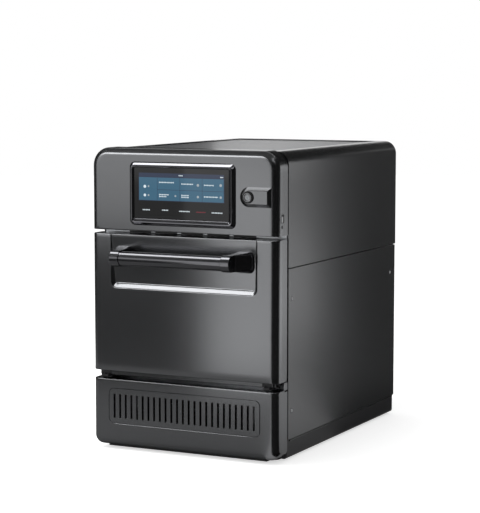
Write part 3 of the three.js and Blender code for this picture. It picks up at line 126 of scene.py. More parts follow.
def size(name, default, description):
    """A length in metres that shows in the scene's own unit."""
    return bpy.props.FloatProperty(
        name=name, description=description, default=default, min=0.0, subtype="DISTANCE", unit="LENGTH"
    )


def colour(name, code, description):
    """A colour swatch that starts at a hex code."""
    return bpy.props.FloatVectorProperty(
        name=name, description=description, default=srgb(code), size=4, min=0.0, max=1.0, subtype="COLOR"
    )


class SpeedOvenSizes(bpy.types.PropertyGroup):
    """Sizes that shape the pressed and turned pieces."""

    sheet: size("Sheet thickness", 0.0015, "Thickness of the pressed front skins")
    edge_radius: size("Edge radius", 0.013, "Radius of the rolled edge round each front skin")
    recess_corner: size("Recess corner", 0.012, "Corner radius of the finger recess in the door")
    recess_depth: size("Recess depth", 0.008, "Depth of the finger recess at its lower ledge")
    ledge_rise: size("Ledge rise", 0.009, "Height of the slope at the foot of the recess")
    bezel_height: size("Bezel height", 0.007, "How far the screen frame stands out of the fascia")
    bezel_slope: size("Bezel slope", 0.006, "Width of the outer slope of the screen frame")
    boss_height: size("Boss height", 0.005, "How far the button boss stands out of the fascia")
    boss_slope: size("Boss slope", 0.0065, "Width of the slope round the button boss")
    bar_radius: size("Bar radius", 0.0138, "Radius of the handle bar")
    cap_radius: size("Cap radius", 0.0157, "Radius of the caps at the ends of the handle bar")
    shoulder: size("Shoulder radius", 0.026, "Radius of the bent shoulders of the upper cover")
    mesh_pitch: size("Mesh pitch", 0.008, "Distance between the holes of the top grille")


class SpeedOvenColours(bpy.types.PropertyGroup):
    """Colours of the finishes that show."""

    coat: colour("Front coat", "7D7E80", "Dark steel coat of the door, fascia and lower panel")
    side_coat: colour("Side coat", "5F6062", "Coat of the side panels and upper cover")
    handle: colour("Handle", "68686B", "Coat of the handle bar and brackets")
    glass: colour("Screen glass", "0B0B0D", "Tint behind the touch glass")
    tile: colour("Screen tiles", "33596F", "Lit tiles on the screen")
    header: colour("Screen header", "222C42", "Lit strip at the top of the screen")
    mark: colour("Screen marks", "DCE8EE", "Light bars and icons on the screen")
    stop_mark: colour("Stop mark", "7A2431", "Dim red key on the screen")
    # The grille's colour is lighter than the side coat, in part painted light on the roof
    grille: colour("Top grille", "7C7D80", "Perforated sheet in the roof")
    steel: colour("Inner steel", "B6B8BB", "Brushed steel of the cooking chamber")
    floor: colour("Floor", "E9E9E9", "Pale floor of the studio")


def colours():
    """The colours of the panel."""
    return bpy.context.scene.speed_oven_colours


def sizes():
    """The sizes of the panel."""
    return bpy.context.scene.speed_oven_sizes


def mm(length):
    """Metres to millimetres, the unit of every shape function below."""
    return length * 1000


# Numpy surfaces


def patch(grid, wrap=False, keep=None):
    """Points and four-sided faces of a grid: each face joins a point to the next ones along its row and
    column. Wrap joins the last column to the first, and keep is a true or false value for each face."""
    rows, columns = grid.shape[:2]
    row = np.arange(rows - 1)[:, None]
    column = np.arange(columns if wrap else columns - 1)[None, :]
    after = (column + 1) % columns
    first, second = row * columns + column, row * columns + after
    faces = np.stack([first, second, second + columns, first + columns], axis=-1)
    return grid.reshape(-1, 3), faces.reshape(-1, 4) if keep is None else faces[keep]


def spread(path, depth):
    """A flat path of (x, z) points laid at one depth: x and z come from the path, y is the depth."""
    return np.stack([path[:, 0], np.full(len(path), depth), path[:, 1]], axis=-1)


def rounded_loop(x0, x1, z0, z1, corner, steps=8, side=3):
    """Closed path round a rectangle: each corner is its centre plus the corner radius times the cosine and
    sine of an angle that runs a quarter turn, and each side is divided evenly between two corners."""
    turn = np.linspace(0, pi / 2, steps)
    centres = np.array([(x1 - corner, z1 - corner), (x0 + corner, z1 - corner),
                        (x0 + corner, z0 + corner), (x1 - corner, z0 + corner)])
    angle = turn[None, :] + np.arange(4)[:, None] * pi / 2
    arcs = centres[:, None, :] + corner * np.stack([np.cos(angle), np.sin(angle)], axis=-1)
    follow = np.roll(arcs[:, 0], -1, axis=0)
    share = np.linspace(0, 1, side + 1)[1:-1]
    sides = arcs[:, -1][:, None, :] + share[None, :, None] * (follow - arcs[:, -1])[:, None, :]
    return np.concatenate([arcs, sides], axis=1).reshape(-1, 2)


def ring(outline, insets, corner, y):
    """Ring at a depth round a rectangle of (x0, x1, z0, z1), drawn in by one inset or by one for each
    side."""
    x0, x1, z0, z1 = np.array(outline) + np.broadcast_to(insets, 4) * (1, -1, 1, -1)
    return spread(rounded_loop(x0, x1, z0, z1, corner), y)


def arch(half, foot, crown, corner, side=24, bend=14, top=40):
    """Open path from the left foot over the crown to the right foot: straight sides at plus and minus half,
    quarter circles of the corner radius, and a level crown between them."""
    way = np.sign(crown - foot)
    turn = np.linspace(0, pi / 2, bend)
    shoulder = crown - way * corner
    rise = np.stack([np.full(side, -half), np.linspace(foot, shoulder, side)], axis=-1)
    arc = np.stack([-half + corner - corner * np.cos(turn), shoulder + way * corner * np.sin(turn)], axis=-1)
    level = np.stack([np.linspace(corner - half, half - corner, top), np.full(top, crown)], axis=-1)
    left = np.concatenate([rise, arc[1:]])
    return np.concatenate([left, level[1:-1], left[::-1] * (-1, 1)])


def inside_rounded(x, z, x0, x1, z0, z1, corner):
    """Distance inside the edge of a rectangle with round corners: the corner radius less the distance to the
    rectangle shrunk by that radius. It is negative outside."""
    across = np.abs(x - (x0 + x1) / 2) - ((x1 - x0) / 2 - corner)
    up = np.abs(z - (z0 + z1) / 2) - ((z1 - z0) / 2 - corner)
    reach = np.hypot(np.maximum(across, 0), np.maximum(up, 0)) + np.minimum(np.maximum(across, up), 0)
    return corner - reach


def meet(centre, loop, inside):
    """Where the line from a centre to each point of a loop leaves a shape: the share of the line is halved
    forty times between a point inside and a point outside."""
    near, far = np.zeros(len(loop)), np.ones(len(loop))
    for _ in range(40):
        middle = (near + far) / 2
        point = centre + middle[:, None] * (loop - centre)
        within = inside(point[:, 0], point[:, 1]) > 0
        near, far = np.where(within, middle, near), np.where(within, far, middle)
    return centre + near[:, None] * (loop - centre)


def soft_min(a, b, reach):
    """The lesser of two values, rounded where they differ by less than reach: the lesser less a quarter of
    reach times the square of how close they are."""
    close = np.maximum(reach - np.abs(a - b), 0) / reach
    return np.minimum(a, b) - close**2 * reach / 4


def smooth(share):
    """A share from 0 to 1 that starts and ends level: three times its square less twice its cube."""
    share = np.clip(share, 0, 1)
    return share * share * (3 - 2 * share)


def rolled_edge(depth, radius, steps=10):
    """Profile of a rolled edge as (inset, y) pairs: straight from the back to the start of the roll, then a
    quarter circle that ends in the front plane."""
    turn = np.linspace(0, pi / 2, steps)
    straight = np.stack([np.zeros(FLANGE_STEPS), np.linspace(depth, radius, FLANGE_STEPS + 1)[:-1]], axis=-1)
    roll = np.stack([radius - radius * np.cos(turn), radius - radius * np.sin(turn)], axis=-1)
    return np.concatenate([straight, roll])


def section_of(edge, middle):
    """Section of a skin as (x, y) pairs: the rolled edge at the left, level points at the places given, and
    the same edge at the right."""
    left = np.stack([edge[:, 0] - HALF, edge[:, 1]], axis=-1)
    return np.concatenate([left, np.stack([middle, np.zeros(len(middle))], -1), left[::-1] * (-1, 1)])


def fold(edge, way, depth, steps=5):
    """Height and set-back of a sheet folded back at an edge: a quarter circle from the front plane to the
    edge, then straight back to the depth. Way is 1 where the edge is the top one and -1 at the bottom."""
    turn = np.linspace(0, pi / 2, steps)
    inward = FOLD_RADIUS * (1 - np.sin(turn))
    bend = np.stack([edge - way * inward, FOLD_RADIUS * (1 - np.cos(turn))], axis=-1)
    back = np.linspace(FOLD_RADIUS, depth, FLANGE_STEPS + 1)[1:]
    return np.concatenate([bend, np.stack([np.full(FLANGE_STEPS, edge), back], axis=-1)])


def folded_faces(rows, columns, ends):
    """True for each face of a folded skin, but not where a flange meets a flank, whose faces there have no
    width. The flank's own lower edge has its points in the same places and closes the skin."""
    keep = np.ones((rows - 1, columns - 1), bool)
    for end in ends:
        keep[end, :FLANGE_STEPS] = keep[end, -FLANGE_STEPS:] = False
    return keep


def turned(profile, centre, axis, steps=48):
    """A profile of (radius, along) pairs turned about an axis: the two level coordinates are the radius
    times the cosine and sine of the angle. Radius nought closes a pole."""
    angle = np.linspace(0, 2 * pi, steps, endpoint=False)
    radius, along = np.array(profile, float).T
    around, up = radius[:, None] * np.cos(angle), radius[:, None] * np.sin(angle)
    run = np.repeat(along[:, None], steps, axis=1)
    ordered = {"x": (run, around, up), "y": (around, run, up), "z": (around, up, run)}[axis]
    return patch(np.stack(ordered, axis=-1) + np.array(centre, float), wrap=True)


def prisms(outlines, near, far):
    """Closed flat prisms: every outline of (x, z) points is laid at a near and a far depth, with a face on
    each outline and one along every edge."""
    count, corners = outlines.shape[:2]
    grid = np.empty((count, 2, corners, 3))
    grid[..., 0], grid[..., 2] = outlines[:, None, :, 0], outlines[:, None, :, 1]
    grid[..., 1] = np.array([near, far], float)[None, :, None]
    base = np.arange(count)[:, None] * 2 * corners
    step = np.arange(corners)
    after = (step + 1) % corners
    ends = np.concatenate([base + step, base + corners + step[::-1]]).tolist()
    walls = np.stack([base + step, base + corners + step, base + corners + after, base + after], axis=-1)
    return grid.reshape(-1, 3), ends + walls.reshape(-1, 4).tolist()


def sideways(part):
    """The points and faces of a patch with width and depth exchanged, so that what was drawn on the front
    lies on a side."""
    return part[0][:, [1, 0, 2]], part[1]


def boxes(rows):
    """Outlines of upright rectangles from rows of (x0, x1, z0, z1)."""
    x0, x1, z0, z1 = np.array(rows, float).T
    return np.stack([np.stack([x0, z0], -1), np.stack([x1, z0], -1), np.stack([x1, z1], -1),
                     np.stack([x0, z1], -1)], axis=1)


def discs(rows, steps=20):
    """Outlines of circles from rows of (x, z, radius)."""
    angle = np.linspace(0, 2 * pi, steps, endpoint=False)
    x, z, radius = (column[:, None] for column in np.array(rows, float).T)
    return np.stack([x + radius * np.cos(angle), z + radius * np.sin(angle)], axis=-1)


# Pieces


def dress(piece, body, coat, slot, nodes=(), wall=0.0, bevel=0.0, segments=2):
    """Gives a piece its wall, its eased edges, its finish and the body that it rides on. The slot is not
    used.
    """
    if wall:
        shell = piece.modifiers.new("Sheet", "SOLIDIFY")
        shell.thickness, shell.offset, shell.use_quality_normals = wall / 1000, -1.0, True
    if bevel:
        ease = piece.modifiers.new("Eased edges", "BEVEL")
        ease.width, ease.segments, ease.limit_method = bevel / 1000, segments, "ANGLE"
        ease.angle_limit = radians(38)
        piece.modifiers.new("Even shading", "WEIGHTED_NORMAL").keep_sharp = True
    piece.data.materials.clear()
    piece.data.materials.append(coat)
    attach(piece, body)
    if nodes:
        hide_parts(*nodes)


def shape(name, patches, outward):
    """One mesh from patches of points and faces in millimetres from the front plane. Doubles are merged,
    normals are made to agree, and all are turned if the face furthest along the outward direction looks the
    other way. Edges with one face only are kept crisp, because a wall starts there."""
    points = np.concatenate([each[0] for each in patches])
    starts = np.cumsum([0] + [len(each[0]) for each in patches[:-1]])
    faces = [[corner + int(start) for corner in face] for each, start in zip(patches, starts)
             for face in (each[1].tolist() if isinstance(each[1], np.ndarray) else each[1])]
    mesh = bpy.data.meshes.new(name)
    mesh.from_pydata(((points + (0, FRONT, 0)) / 1000).tolist(), [], faces)
    work = bmesh.new()
    work.from_mesh(mesh)
    bmesh.ops.remove_doubles(work, verts=work.verts, dist=MERGE)
    bmesh.ops.dissolve_degenerate(work, edges=work.edges, dist=1e-6)
    bmesh.ops.recalc_face_normals(work, faces=work.faces)
    aim = np.array(outward, float)
    centres = np.array([face.calc_center_median() for face in work.faces]) @ aim
    normals = np.array([face.normal for face in work.faces]) @ aim
    if normals[centres > centres.max() - 1e-4].sum() < 0:
        bmesh.ops.reverse_faces(work, faces=work.faces)
    work.to_mesh(mesh)
    work.free()
    mesh.shade_smooth()
    mesh.set_sharp_from_angle(angle=CREASE)
    edges = np.empty(len(mesh.loops), np.int32)
    mesh.loops.foreach_get("edge_index", edges)
    crease = np.empty(len(mesh.edges), bool)
    mesh.edges.foreach_get("use_edge_sharp", crease)
    mesh.edges.foreach_set("use_edge_sharp", crease | (np.bincount(edges, minlength=len(crease)) == 1))
    return placed(name, mesh)


def placed(name, data):
    """An object for a mesh, a lamp or a camera, set in the scene at the origin and unturned."""
    item = bpy.data.objects.new(name, data)
    bpy.context.scene.collection.objects.link(item)
    return item


def eased(node, coat, bevel, segments):
    """A merged copy of a CAD node with eased edges and even shading, which stands for it."""
    source = frame["nodes"][node]
    mesh = source.data.copy()
    mesh.name = f"{node}_eased"
    work = bmesh.new()
    work.from_mesh(mesh)
    bmesh.ops.remove_doubles(work, verts=work.verts, dist=MERGE)
    bmesh.ops.dissolve_limit(work, angle_limit=radians(1), verts=work.verts, edges=work.edges)
    work.to_mesh(mesh)
    work.free()
    mesh.shade_smooth()
    mesh.set_sharp_from_angle(angle=CREASE)
    slot = source.data.materials[0].name
    body = body_of(source)[0]
    dress(placed(mesh.name, mesh), body, coat, slot, (node,), bevel=bevel, segments=segments)


# Finishes

NOISE, CELLS = "ShaderNodeTexNoise", "ShaderNodeTexVoronoi"


def add_node(tree, kind, inputs=None, **settings):
    """Adds one node, sets it up, then fills or links its inputs, and returns it."""
    node = tree.nodes.new(kind)
    for key, value in settings.items():
        setattr(node, key, value)
    for key, value in (inputs or {}).items():
        if isinstance(value, bpy.types.NodeSocket):
            tree.links.new(value, node.inputs[key])
        else:
            node.inputs[key].default_value = value
    return node


def grain(tree, scale, stretch=(1, 1, 1), kind=NOISE):
    """A pattern that repeats about once in a millimetre divided by the scale, stretched along the axes.
    Brushing, moulding, blasting and other grain much finer than a millimetre is drawn about a millimetre
    across, so that it shows."""
    place = add_node(tree, "ShaderNodeTexCoord")
    lay = add_node(tree, "ShaderNodeMapping", {"Vector": place.outputs["Object"], "Scale": stretch})
    inputs = {"Vector": lay.outputs["Vector"], "Scale": scale * 1000}
    if kind == NOISE:
        inputs["Detail"] = 3.0
    return add_node(tree, kind, inputs)


def tint(tree, value, dark, light):
    """A colour between a dark and a light one."""
    mix = add_node(tree, "ShaderNodeMix", data_type="RGBA")
    tree.links.new(value, mix.inputs["Factor"])
    mix.inputs["A"].default_value, mix.inputs["B"].default_value = dark, light
    return mix.outputs["Result"]


def shade(value, factor):
    """A colour made darker or lighter by a factor."""
    return (*(min(part * factor, 1.0) for part in value[:3]), 1.0)


def finish(name, base, rough, metal=0.0, scale=0.5, vary=0.12, relief=0.0, stretch=(1, 1, 1), kind=NOISE,
           **sockets):
    """A finish whose colour, roughness and relief all come from one pattern. Rough is the range of the
    roughness, vary the share by which the colour changes, and relief the depth of the bumps in millimetres.
    Further words name inputs of the shader."""
    if name in bpy.data.materials:
        return bpy.data.materials[name]
    material = bpy.data.materials.new(name)
    material.use_nodes = True
    tree = material.node_tree
    tree.nodes.clear()
    pattern = grain(tree, scale, stretch, kind)
    value = pattern.outputs["Fac" if "Fac" in pattern.outputs else "Distance"]
    roughness = add_node(tree, "ShaderNodeMapRange", {"Value": value, "To Min": rough[0], "To Max": rough[1]})
    inputs = {
        "Base Color": tint(tree, value, shade(base, 1 - vary), shade(base, 1 + vary)),
        "Roughness": roughness.outputs[0],
        "Metallic": metal,
        **{key.replace("_", " "): item for key, item in sockets.items()},
    }
    if relief:
        bump = add_node(tree, "ShaderNodeBump", {"Height": value, "Strength": 1.0, "Distance": relief / 1000})
        inputs["Normal"] = bump.outputs["Normal"]
    shader = add_node(tree, "ShaderNodeBsdfPrincipled", inputs)
    add_node(tree, "ShaderNodeOutputMaterial", {"Surface": shader.outputs[0]})
    return material


def front_coat():
    """Dark stainless with a satin clear coat: it mirrors soft, wide patches of the room."""
    return finish("dark_coated_stainless", colours().coat, (0.2, 0.25), metal=1.0, scale=0.6, vary=0.04,
                  relief=0.0002, stretch=(0.08, 1, 1))


def side_coat():
    """Sheet steel with satin powder coat: a fine orange peel softens what it mirrors, and it pales when seen
    flat."""
    return finish("satin_powder_coat", colours().side_coat, (0.26, 0.28), metal=1.0, scale=0.6, vary=0.01,
                  relief=0.0001, Coat_Weight=0.55, Coat_Roughness=0.2)


def plinth_coat():
    """Dark powder coat on the base, the hinges and the hems: nearly matt, with a fine grain."""
    return finish("dark_powder_coat", srgb("2C2C2E"), (0.38, 0.5), scale=0.8, vary=0.1, relief=0.01,
                  Specular_IOR_Level=0.35)


def bar_coat():
    """Polished black coat on the handle: a deep black with a thin sharp highlight."""
    return finish("black_polished_coat", colours().handle, (0.15, 0.2), metal=1.0, vary=0.06, relief=0.001,
                  stretch=(0.2, 1, 1))


def plated_metal():
    """Black-plated metal round the screen: a dark mirror with slight waves."""
    return finish("black_plated_metal", srgb("7C7C80"), (0.06, 0.11), metal=1.0, scale=0.05, vary=0.1,
                  relief=0.002)


def tinted_glass():
    """Flat touch glass printed black behind: a faint smear of finger marks breaks the gloss."""
    return finish("black_backed_glass", colours().glass, (0.03, 0.09), scale=0.03, vary=0.15,
                  stretch=(1, 1, 2))


def satin_plastic():
    """Black glass-filled moulding: even satin with a fine moulded grain."""
    return finish("satin_black_moulding", srgb("161617"), (0.38, 0.5), scale=1.2, vary=0.1, relief=0.008)


def brushed_steel():
    """Stainless sheet brushed along its length: long scratches stretch each highlight."""
    return finish("brushed_stainless", colours().steel, (0.22, 0.36), metal=1.0, scale=0.9, vary=0.08,
                  relief=0.002, stretch=(0.03, 1, 1))


def zinc_sheet():
    """Galvanised sheet: flat crystals of zinc, each a little lighter or darker than the next."""
    return finish("galvanised_sheet", srgb("A2A6A9"), (0.32, 0.42), metal=1.0, scale=0.09, vary=0.1,
                  kind=CELLS)


def zinc_plate():
    """Zinc-plated screw heads and contacts: pale and satin, so they stay light whatever they mirror."""
    return finish("zinc_plate", srgb("B9BABC"), (0.35, 0.45), metal=0.35, scale=1.5, vary=0.08, relief=0.004)


def blued_steel():
    """Dark heat-treated steel: cloudy brown-grey patches over a dull metal."""
    return finish("blued_steel", srgb("4B4A4A"), (0.3, 0.5), metal=1.0, scale=0.06, vary=0.2, relief=0.003)


def cooking_coat():
    """Dark non-stick coat on the cook plate: matt, with a fine pebbled relief."""
    return finish("non_stick_coat", srgb("3A3937"), (0.42, 0.6), metal=0.2, scale=0.7, vary=0.14, relief=0.02)


def foot_rubber():
    """Black moulded rubber: matt and slightly dusty."""
    return finish("moulded_rubber", srgb("1B1B1B"), (0.6, 0.8), scale=0.4, vary=0.2, relief=0.02)


def door_seal():
    """Braided seal: a woven cord, drawn as cells a millimetre across."""
    return finish("braided_seal", srgb("5A5855"), (0.65, 0.85), scale=0.8, vary=0.3, relief=0.12, kind=CELLS)


def mineral_wool():
    """Mineral wool blanket: pale yellow tangled fibres with a soft, uneven face."""
    return finish("mineral_wool", srgb("CDBF98"), (0.85, 1.0), scale=0.3, vary=0.25, relief=0.5,
                  stretch=(0.3, 1, 1))


def board_laminate():
    """Green printed board: dark tracks under a satin lacquer."""
    return finish("printed_board", srgb("1F5B38"), (0.3, 0.5), scale=0.25, vary=0.4, relief=0.03, kind=CELLS)


def copper_winding():
    """Enamelled copper wire laid in turns: fine ridges along the winding."""
    return finish("enamelled_copper", srgb("8F4F2A"), (0.25, 0.4), metal=0.9, scale=0.9, vary=0.15,
                  relief=0.06, stretch=(1, 1, 0.05))


def plain_aluminium():
    """Cast and extruded aluminium: light grey with a faint blasted grain."""
    return finish("blasted_aluminium", srgb("AEB1B4"), (0.35, 0.5), metal=1.0, scale=0.9, vary=0.06,
                  relief=0.006)


def grille_sheet():
    """Perforated steel sheet with the satin coat of the cover, but lighter in colour: in part painted light
    on the roof.
    """
    return finish("coated_perforated_sheet", colours().grille, (0.35, 0.45), metal=0.9, scale=0.6, vary=0.05,
                  relief=0.004, Coat_Weight=0.55, Coat_Roughness=0.25)


def lit(name, base, strength):
    """A lit patch on the screen: it glows evenly in its own colour, under the gloss of glass."""
    return finish(name, shade(base, 0.3), (0.04, 0.09), scale=0.03, vary=0.05, stretch=(1, 1, 2),
                  Emission_Color=tuple(base), Emission_Strength=strength)


SLOT_FINISHES = {
    "black_coat": side_coat,
    "dark_coat": plinth_coat,
    "gloss_black": plated_metal,
    "screen_glass": tinted_glass,
    "display": tinted_glass,
    "satin_black": satin_plastic,
    "stainless": brushed_steel,
    "galvanised": zinc_sheet,
    "dark_steel": blued_steel,
    "cook_plate": cooking_coat,
    "rubber": foot_rubber,
    "gasket": door_seal,
    "insulation": mineral_wool,
    "circuit_board": board_laminate,
    "copper": copper_winding,
    "aluminium": plain_aluminium,
}


# Front skins


def pressed_skin(foot, crown, corner, depth, hole, rows=16, keep=None):
    """Patches of a pressed front skin: a rolled edge carried along an arch, a flat field between the arch
    and a rectangular hole, whose points lie on lines from the hole's centre, a slope into the hole, and a
    flange folded back at the foot, on which each point keeps its share of the way to the back."""
    radius = mm(sizes().edge_radius)
    way = np.sign(crown - foot)
    start = foot + way * FOLD_RADIUS
    edge = rolled_edge(depth, radius)
    rim = np.stack([spread(arch(HALF - inset, start, crown - way * inset, corner - inset), y)
                    for inset, y in edge])
    inner = arch(HALF - radius, start, crown - way * radius, corner - radius)
    level = np.linspace(inner[-1], inner[0], 42)[1:-1]
    outer = np.concatenate([inner, level])
    centre = np.array([(hole[0] + hole[1]) / 2, (hole[2] + hole[3]) / 2])
    opening = meet(centre, outer, lambda x, z: inside_rounded(x, z, *hole))
    brink = meet(centre, outer, lambda x, z: inside_rounded(x, z, *hole) + HOLE_SLOPE)
    share = np.linspace(0, 1, rows + 1)[:, None, None]
    field = np.insert(outer + share * (brink - outer), 1, 0.0, axis=-1)
    middle = (field[1:, :] + field[:-1, :]) / 2
    middle = (middle + np.roll(middle, -1, axis=1)) / 2
    shown = None if keep is None else keep(middle[..., 0], middle[..., 2])
    section = section_of(edge, level[::-1, 0])
    bend = fold(foot, -way, depth)
    flange = np.empty((len(bend), len(section), 3))
    flange[..., 0], flange[..., 2] = section[:, 0], bend[:, 0, None]
    flange[..., 1] = section[:, 1] * (1 - bend[:, 1, None] / depth) + bend[:, 1, None]
    kept = folded_faces(len(bend), len(section), [slice(-FLANGE_STEPS, None)])
    lipped = np.stack([spread(brink, 0), spread(opening, HOLE_SLOPE)])
    return [patch(rim), patch(field, wrap=True, keep=shown), patch(lipped, wrap=True),
            patch(flange, keep=kept)]


class SPEED_OVEN_OT_door(bpy.types.Operator):
    """Build the door skin: a pan with rolled sides, which grow a little shallower at the foot, and a
    scooped finger recess"""

    bl_idname = "speed_oven.door"
    bl_label = "Door Skin"

    def execute(self, context):
        low, high, depth = SKIN_LOW, SKIN_HIGH, DOOR_DEPTH
        radius, fine = mm(sizes().edge_radius), 0.8
        outside, inside, ledge, over = -159.5, -142.5, 314, 336
        tuck, tuck_height = 3.2, 14
        half_row = np.concatenate([np.linspace(-HALF + radius, outside, 7)[1:-1],
                                   np.arange(outside, inside - fine / 2, fine), np.linspace(inside, 0, 14)])
        section = section_of(rolled_edge(depth, radius), np.concatenate([half_row, -half_row[-2::-1]]))
        levels = np.concatenate([np.linspace(low + FOLD_RADIUS, ledge - 1, 12)[1:],
                                 np.arange(ledge, over - 1, fine),
                                 np.linspace(over, high - FOLD_RADIUS, 16)[:-1]])
        rows = np.concatenate([fold(low, -1, depth)[::-1], np.stack([levels, np.zeros(len(levels))], -1),
                               fold(high, 1, depth)])
        x, z = np.meshgrid(section[:, 0], rows[:, 0])
        ahead = 1 - rows[:, 1, None] / depth
        flank = smooth((np.abs(x) - HALF + radius) / radius)
        taper = tuck * np.clip(1 - (z - low) / tuck_height, 0, 1) * flank
        y = (rows[:, 1, None] + (section[:, 1] + recess(x, z, high)) * ahead) * (1 - taper / depth)
        keep = folded_faces(len(rows), len(section), [slice(FLANGE_STEPS), slice(-FLANGE_STEPS, None)])
        piece = shape("door_pan", [patch(np.stack([x, y, z], axis=-1), keep=keep)], FORWARD)
        dress(piece, "door", front_coat(), "black_coat", ("door_skin",), wall=mm(sizes().sheet))
        return {"FINISHED"}


def recess(x, z, top):
    """Depth of the finger recess: the lesser of a floor that slopes evenly down to its ledge and a wall
    that rises with the distance inside a mouth with round lower corners, steeper at the sides than at the
    ledge."""
    corner, deepest, rise = mm(sizes().recess_corner), mm(sizes().recess_depth), mm(sizes().ledge_rise)
    half, low, past_top = 157.0, 318.0, 918.0
    side_run, shallow, brink, blend = 6.0, 1.2, 0.8, 1.6
    inside = inside_rounded(x, z, -half, half, low, past_top, corner)
    across = np.maximum(corner - (half - np.abs(x)), 0)
    up = np.maximum(corner - (z - low), 0)
    share = across**2 / (across**2 + up**2 + 1e-9)
    wall = inside * deepest * (share / side_run + (1 - share) / rise)
    floor = shallow + (deepest - shallow) * (top - z) / (top - low - rise)
    risen = -soft_min(-wall, np.zeros_like(wall), brink)
    return np.where(inside > -1, soft_min(risen, floor, blend), 0.0)


class SPEED_OVEN_OT_fascia(bpy.types.Operator):
    """Build the rounded fascia skin that carries the screen and the button"""

    bl_idname = "speed_oven.fascia"
    bl_label = "Fascia"

    def execute(self, context):
        patches = pressed_skin(*span("fascia_housing", "z"), 35.0, SHELL_DEPTH, SCREEN_HOLE,
                               keep=lambda x, z: np.hypot(x - BUTTON[0], z - BUTTON[1]) > BUTTON_HOLE + 0.5)
        piece = shape("fascia_skin", patches, FORWARD)
        dress(piece, "oven", front_coat(), "black_coat", ("fascia_housing",), wall=mm(sizes().sheet))
        build_boss()
        return {"FINISHED"}


def boss_path(inset):
    """Closed path round the button boss: a half circle about the button, and straight sides that run to the
    rolled edge of the fascia. The inset shrinks the half circle and moves the sides and the end in."""
    radius, right = BOSS_RADIUS - inset, BOSS_END - inset
    x, z = BUTTON
    turn = np.linspace(pi / 2, 3 * pi / 2, 31)
    bend = np.stack([x + radius * np.cos(turn), z + radius * np.sin(turn)], axis=-1)
    run = np.linspace(x, right, 12)[1:]
    rise = np.linspace(z - radius, z + radius, 9)[1:-1]
    low, high = (np.stack([way, np.full(len(run), edge)], axis=-1)
                 for way, edge in ((run, z - radius), (run[::-1], z + radius)))
    end = np.stack([np.full(len(rise), right), rise], axis=-1)
    return np.concatenate([bend, low, end, high])


def build_boss():
    """The raised boss: the path drawn in as it rises, with eased brinks, and a flat top round the button's
    hole."""
    height, slope = mm(sizes().boss_height), mm(sizes().boss_slope)
    profile = [(0, 0.6), (0, 0), (0.25, -0.25), (slope - 0.5, -height + 0.3), (slope - 0.2, -height + 0.1),
               (slope + 0.2, -height), (slope + 0.7, -height)]
    rings = [spread(boss_path(inset), y) for inset, y in profile]
    away = boss_path(slope + 0.7) - BUTTON
    hole = BUTTON + away / np.linalg.norm(away, axis=-1, keepdims=True) * BUTTON_HOLE
    rings += [spread(hole, -height), spread(hole, -height + 4)]
    piece = shape("button_boss", [patch(np.stack(rings), wrap=True)], FORWARD)
    dress(piece, "oven", front_coat(), "black_coat", wall=0.8)


class SPEED_OVEN_OT_lower_panel(bpy.types.Operator):
    """Build the lower front panel round its air intake, with an ear at each end of its top"""

    bl_idname = "speed_oven.lower_panel"
    bl_label = "Lower Panel"

    def execute(self, context):
        foot, sheet = span("lower_front_panel", "z")[0], mm(sizes().sheet)
        patches = pressed_skin(PANEL_TOP, foot, 18.0, SHELL_DEPTH, GRILLE_HOLE, rows=8)
        for side in (-1, 1):
            edges = sorted((side * (HALF - sheet), side * HALF))
            ear = boxes([(*edges, PANEL_TOP - 3, PANEL_TOP + 14.5)])
            patches.append(prisms(ear, 32.5, SHELL_DEPTH))
        piece = shape("lower_panel_skin", patches, FORWARD)
        dress(piece, "oven", front_coat(), "black_coat", ("lower_front_panel",), wall=sheet)
        return {"FINISHED"}


# Screen and button


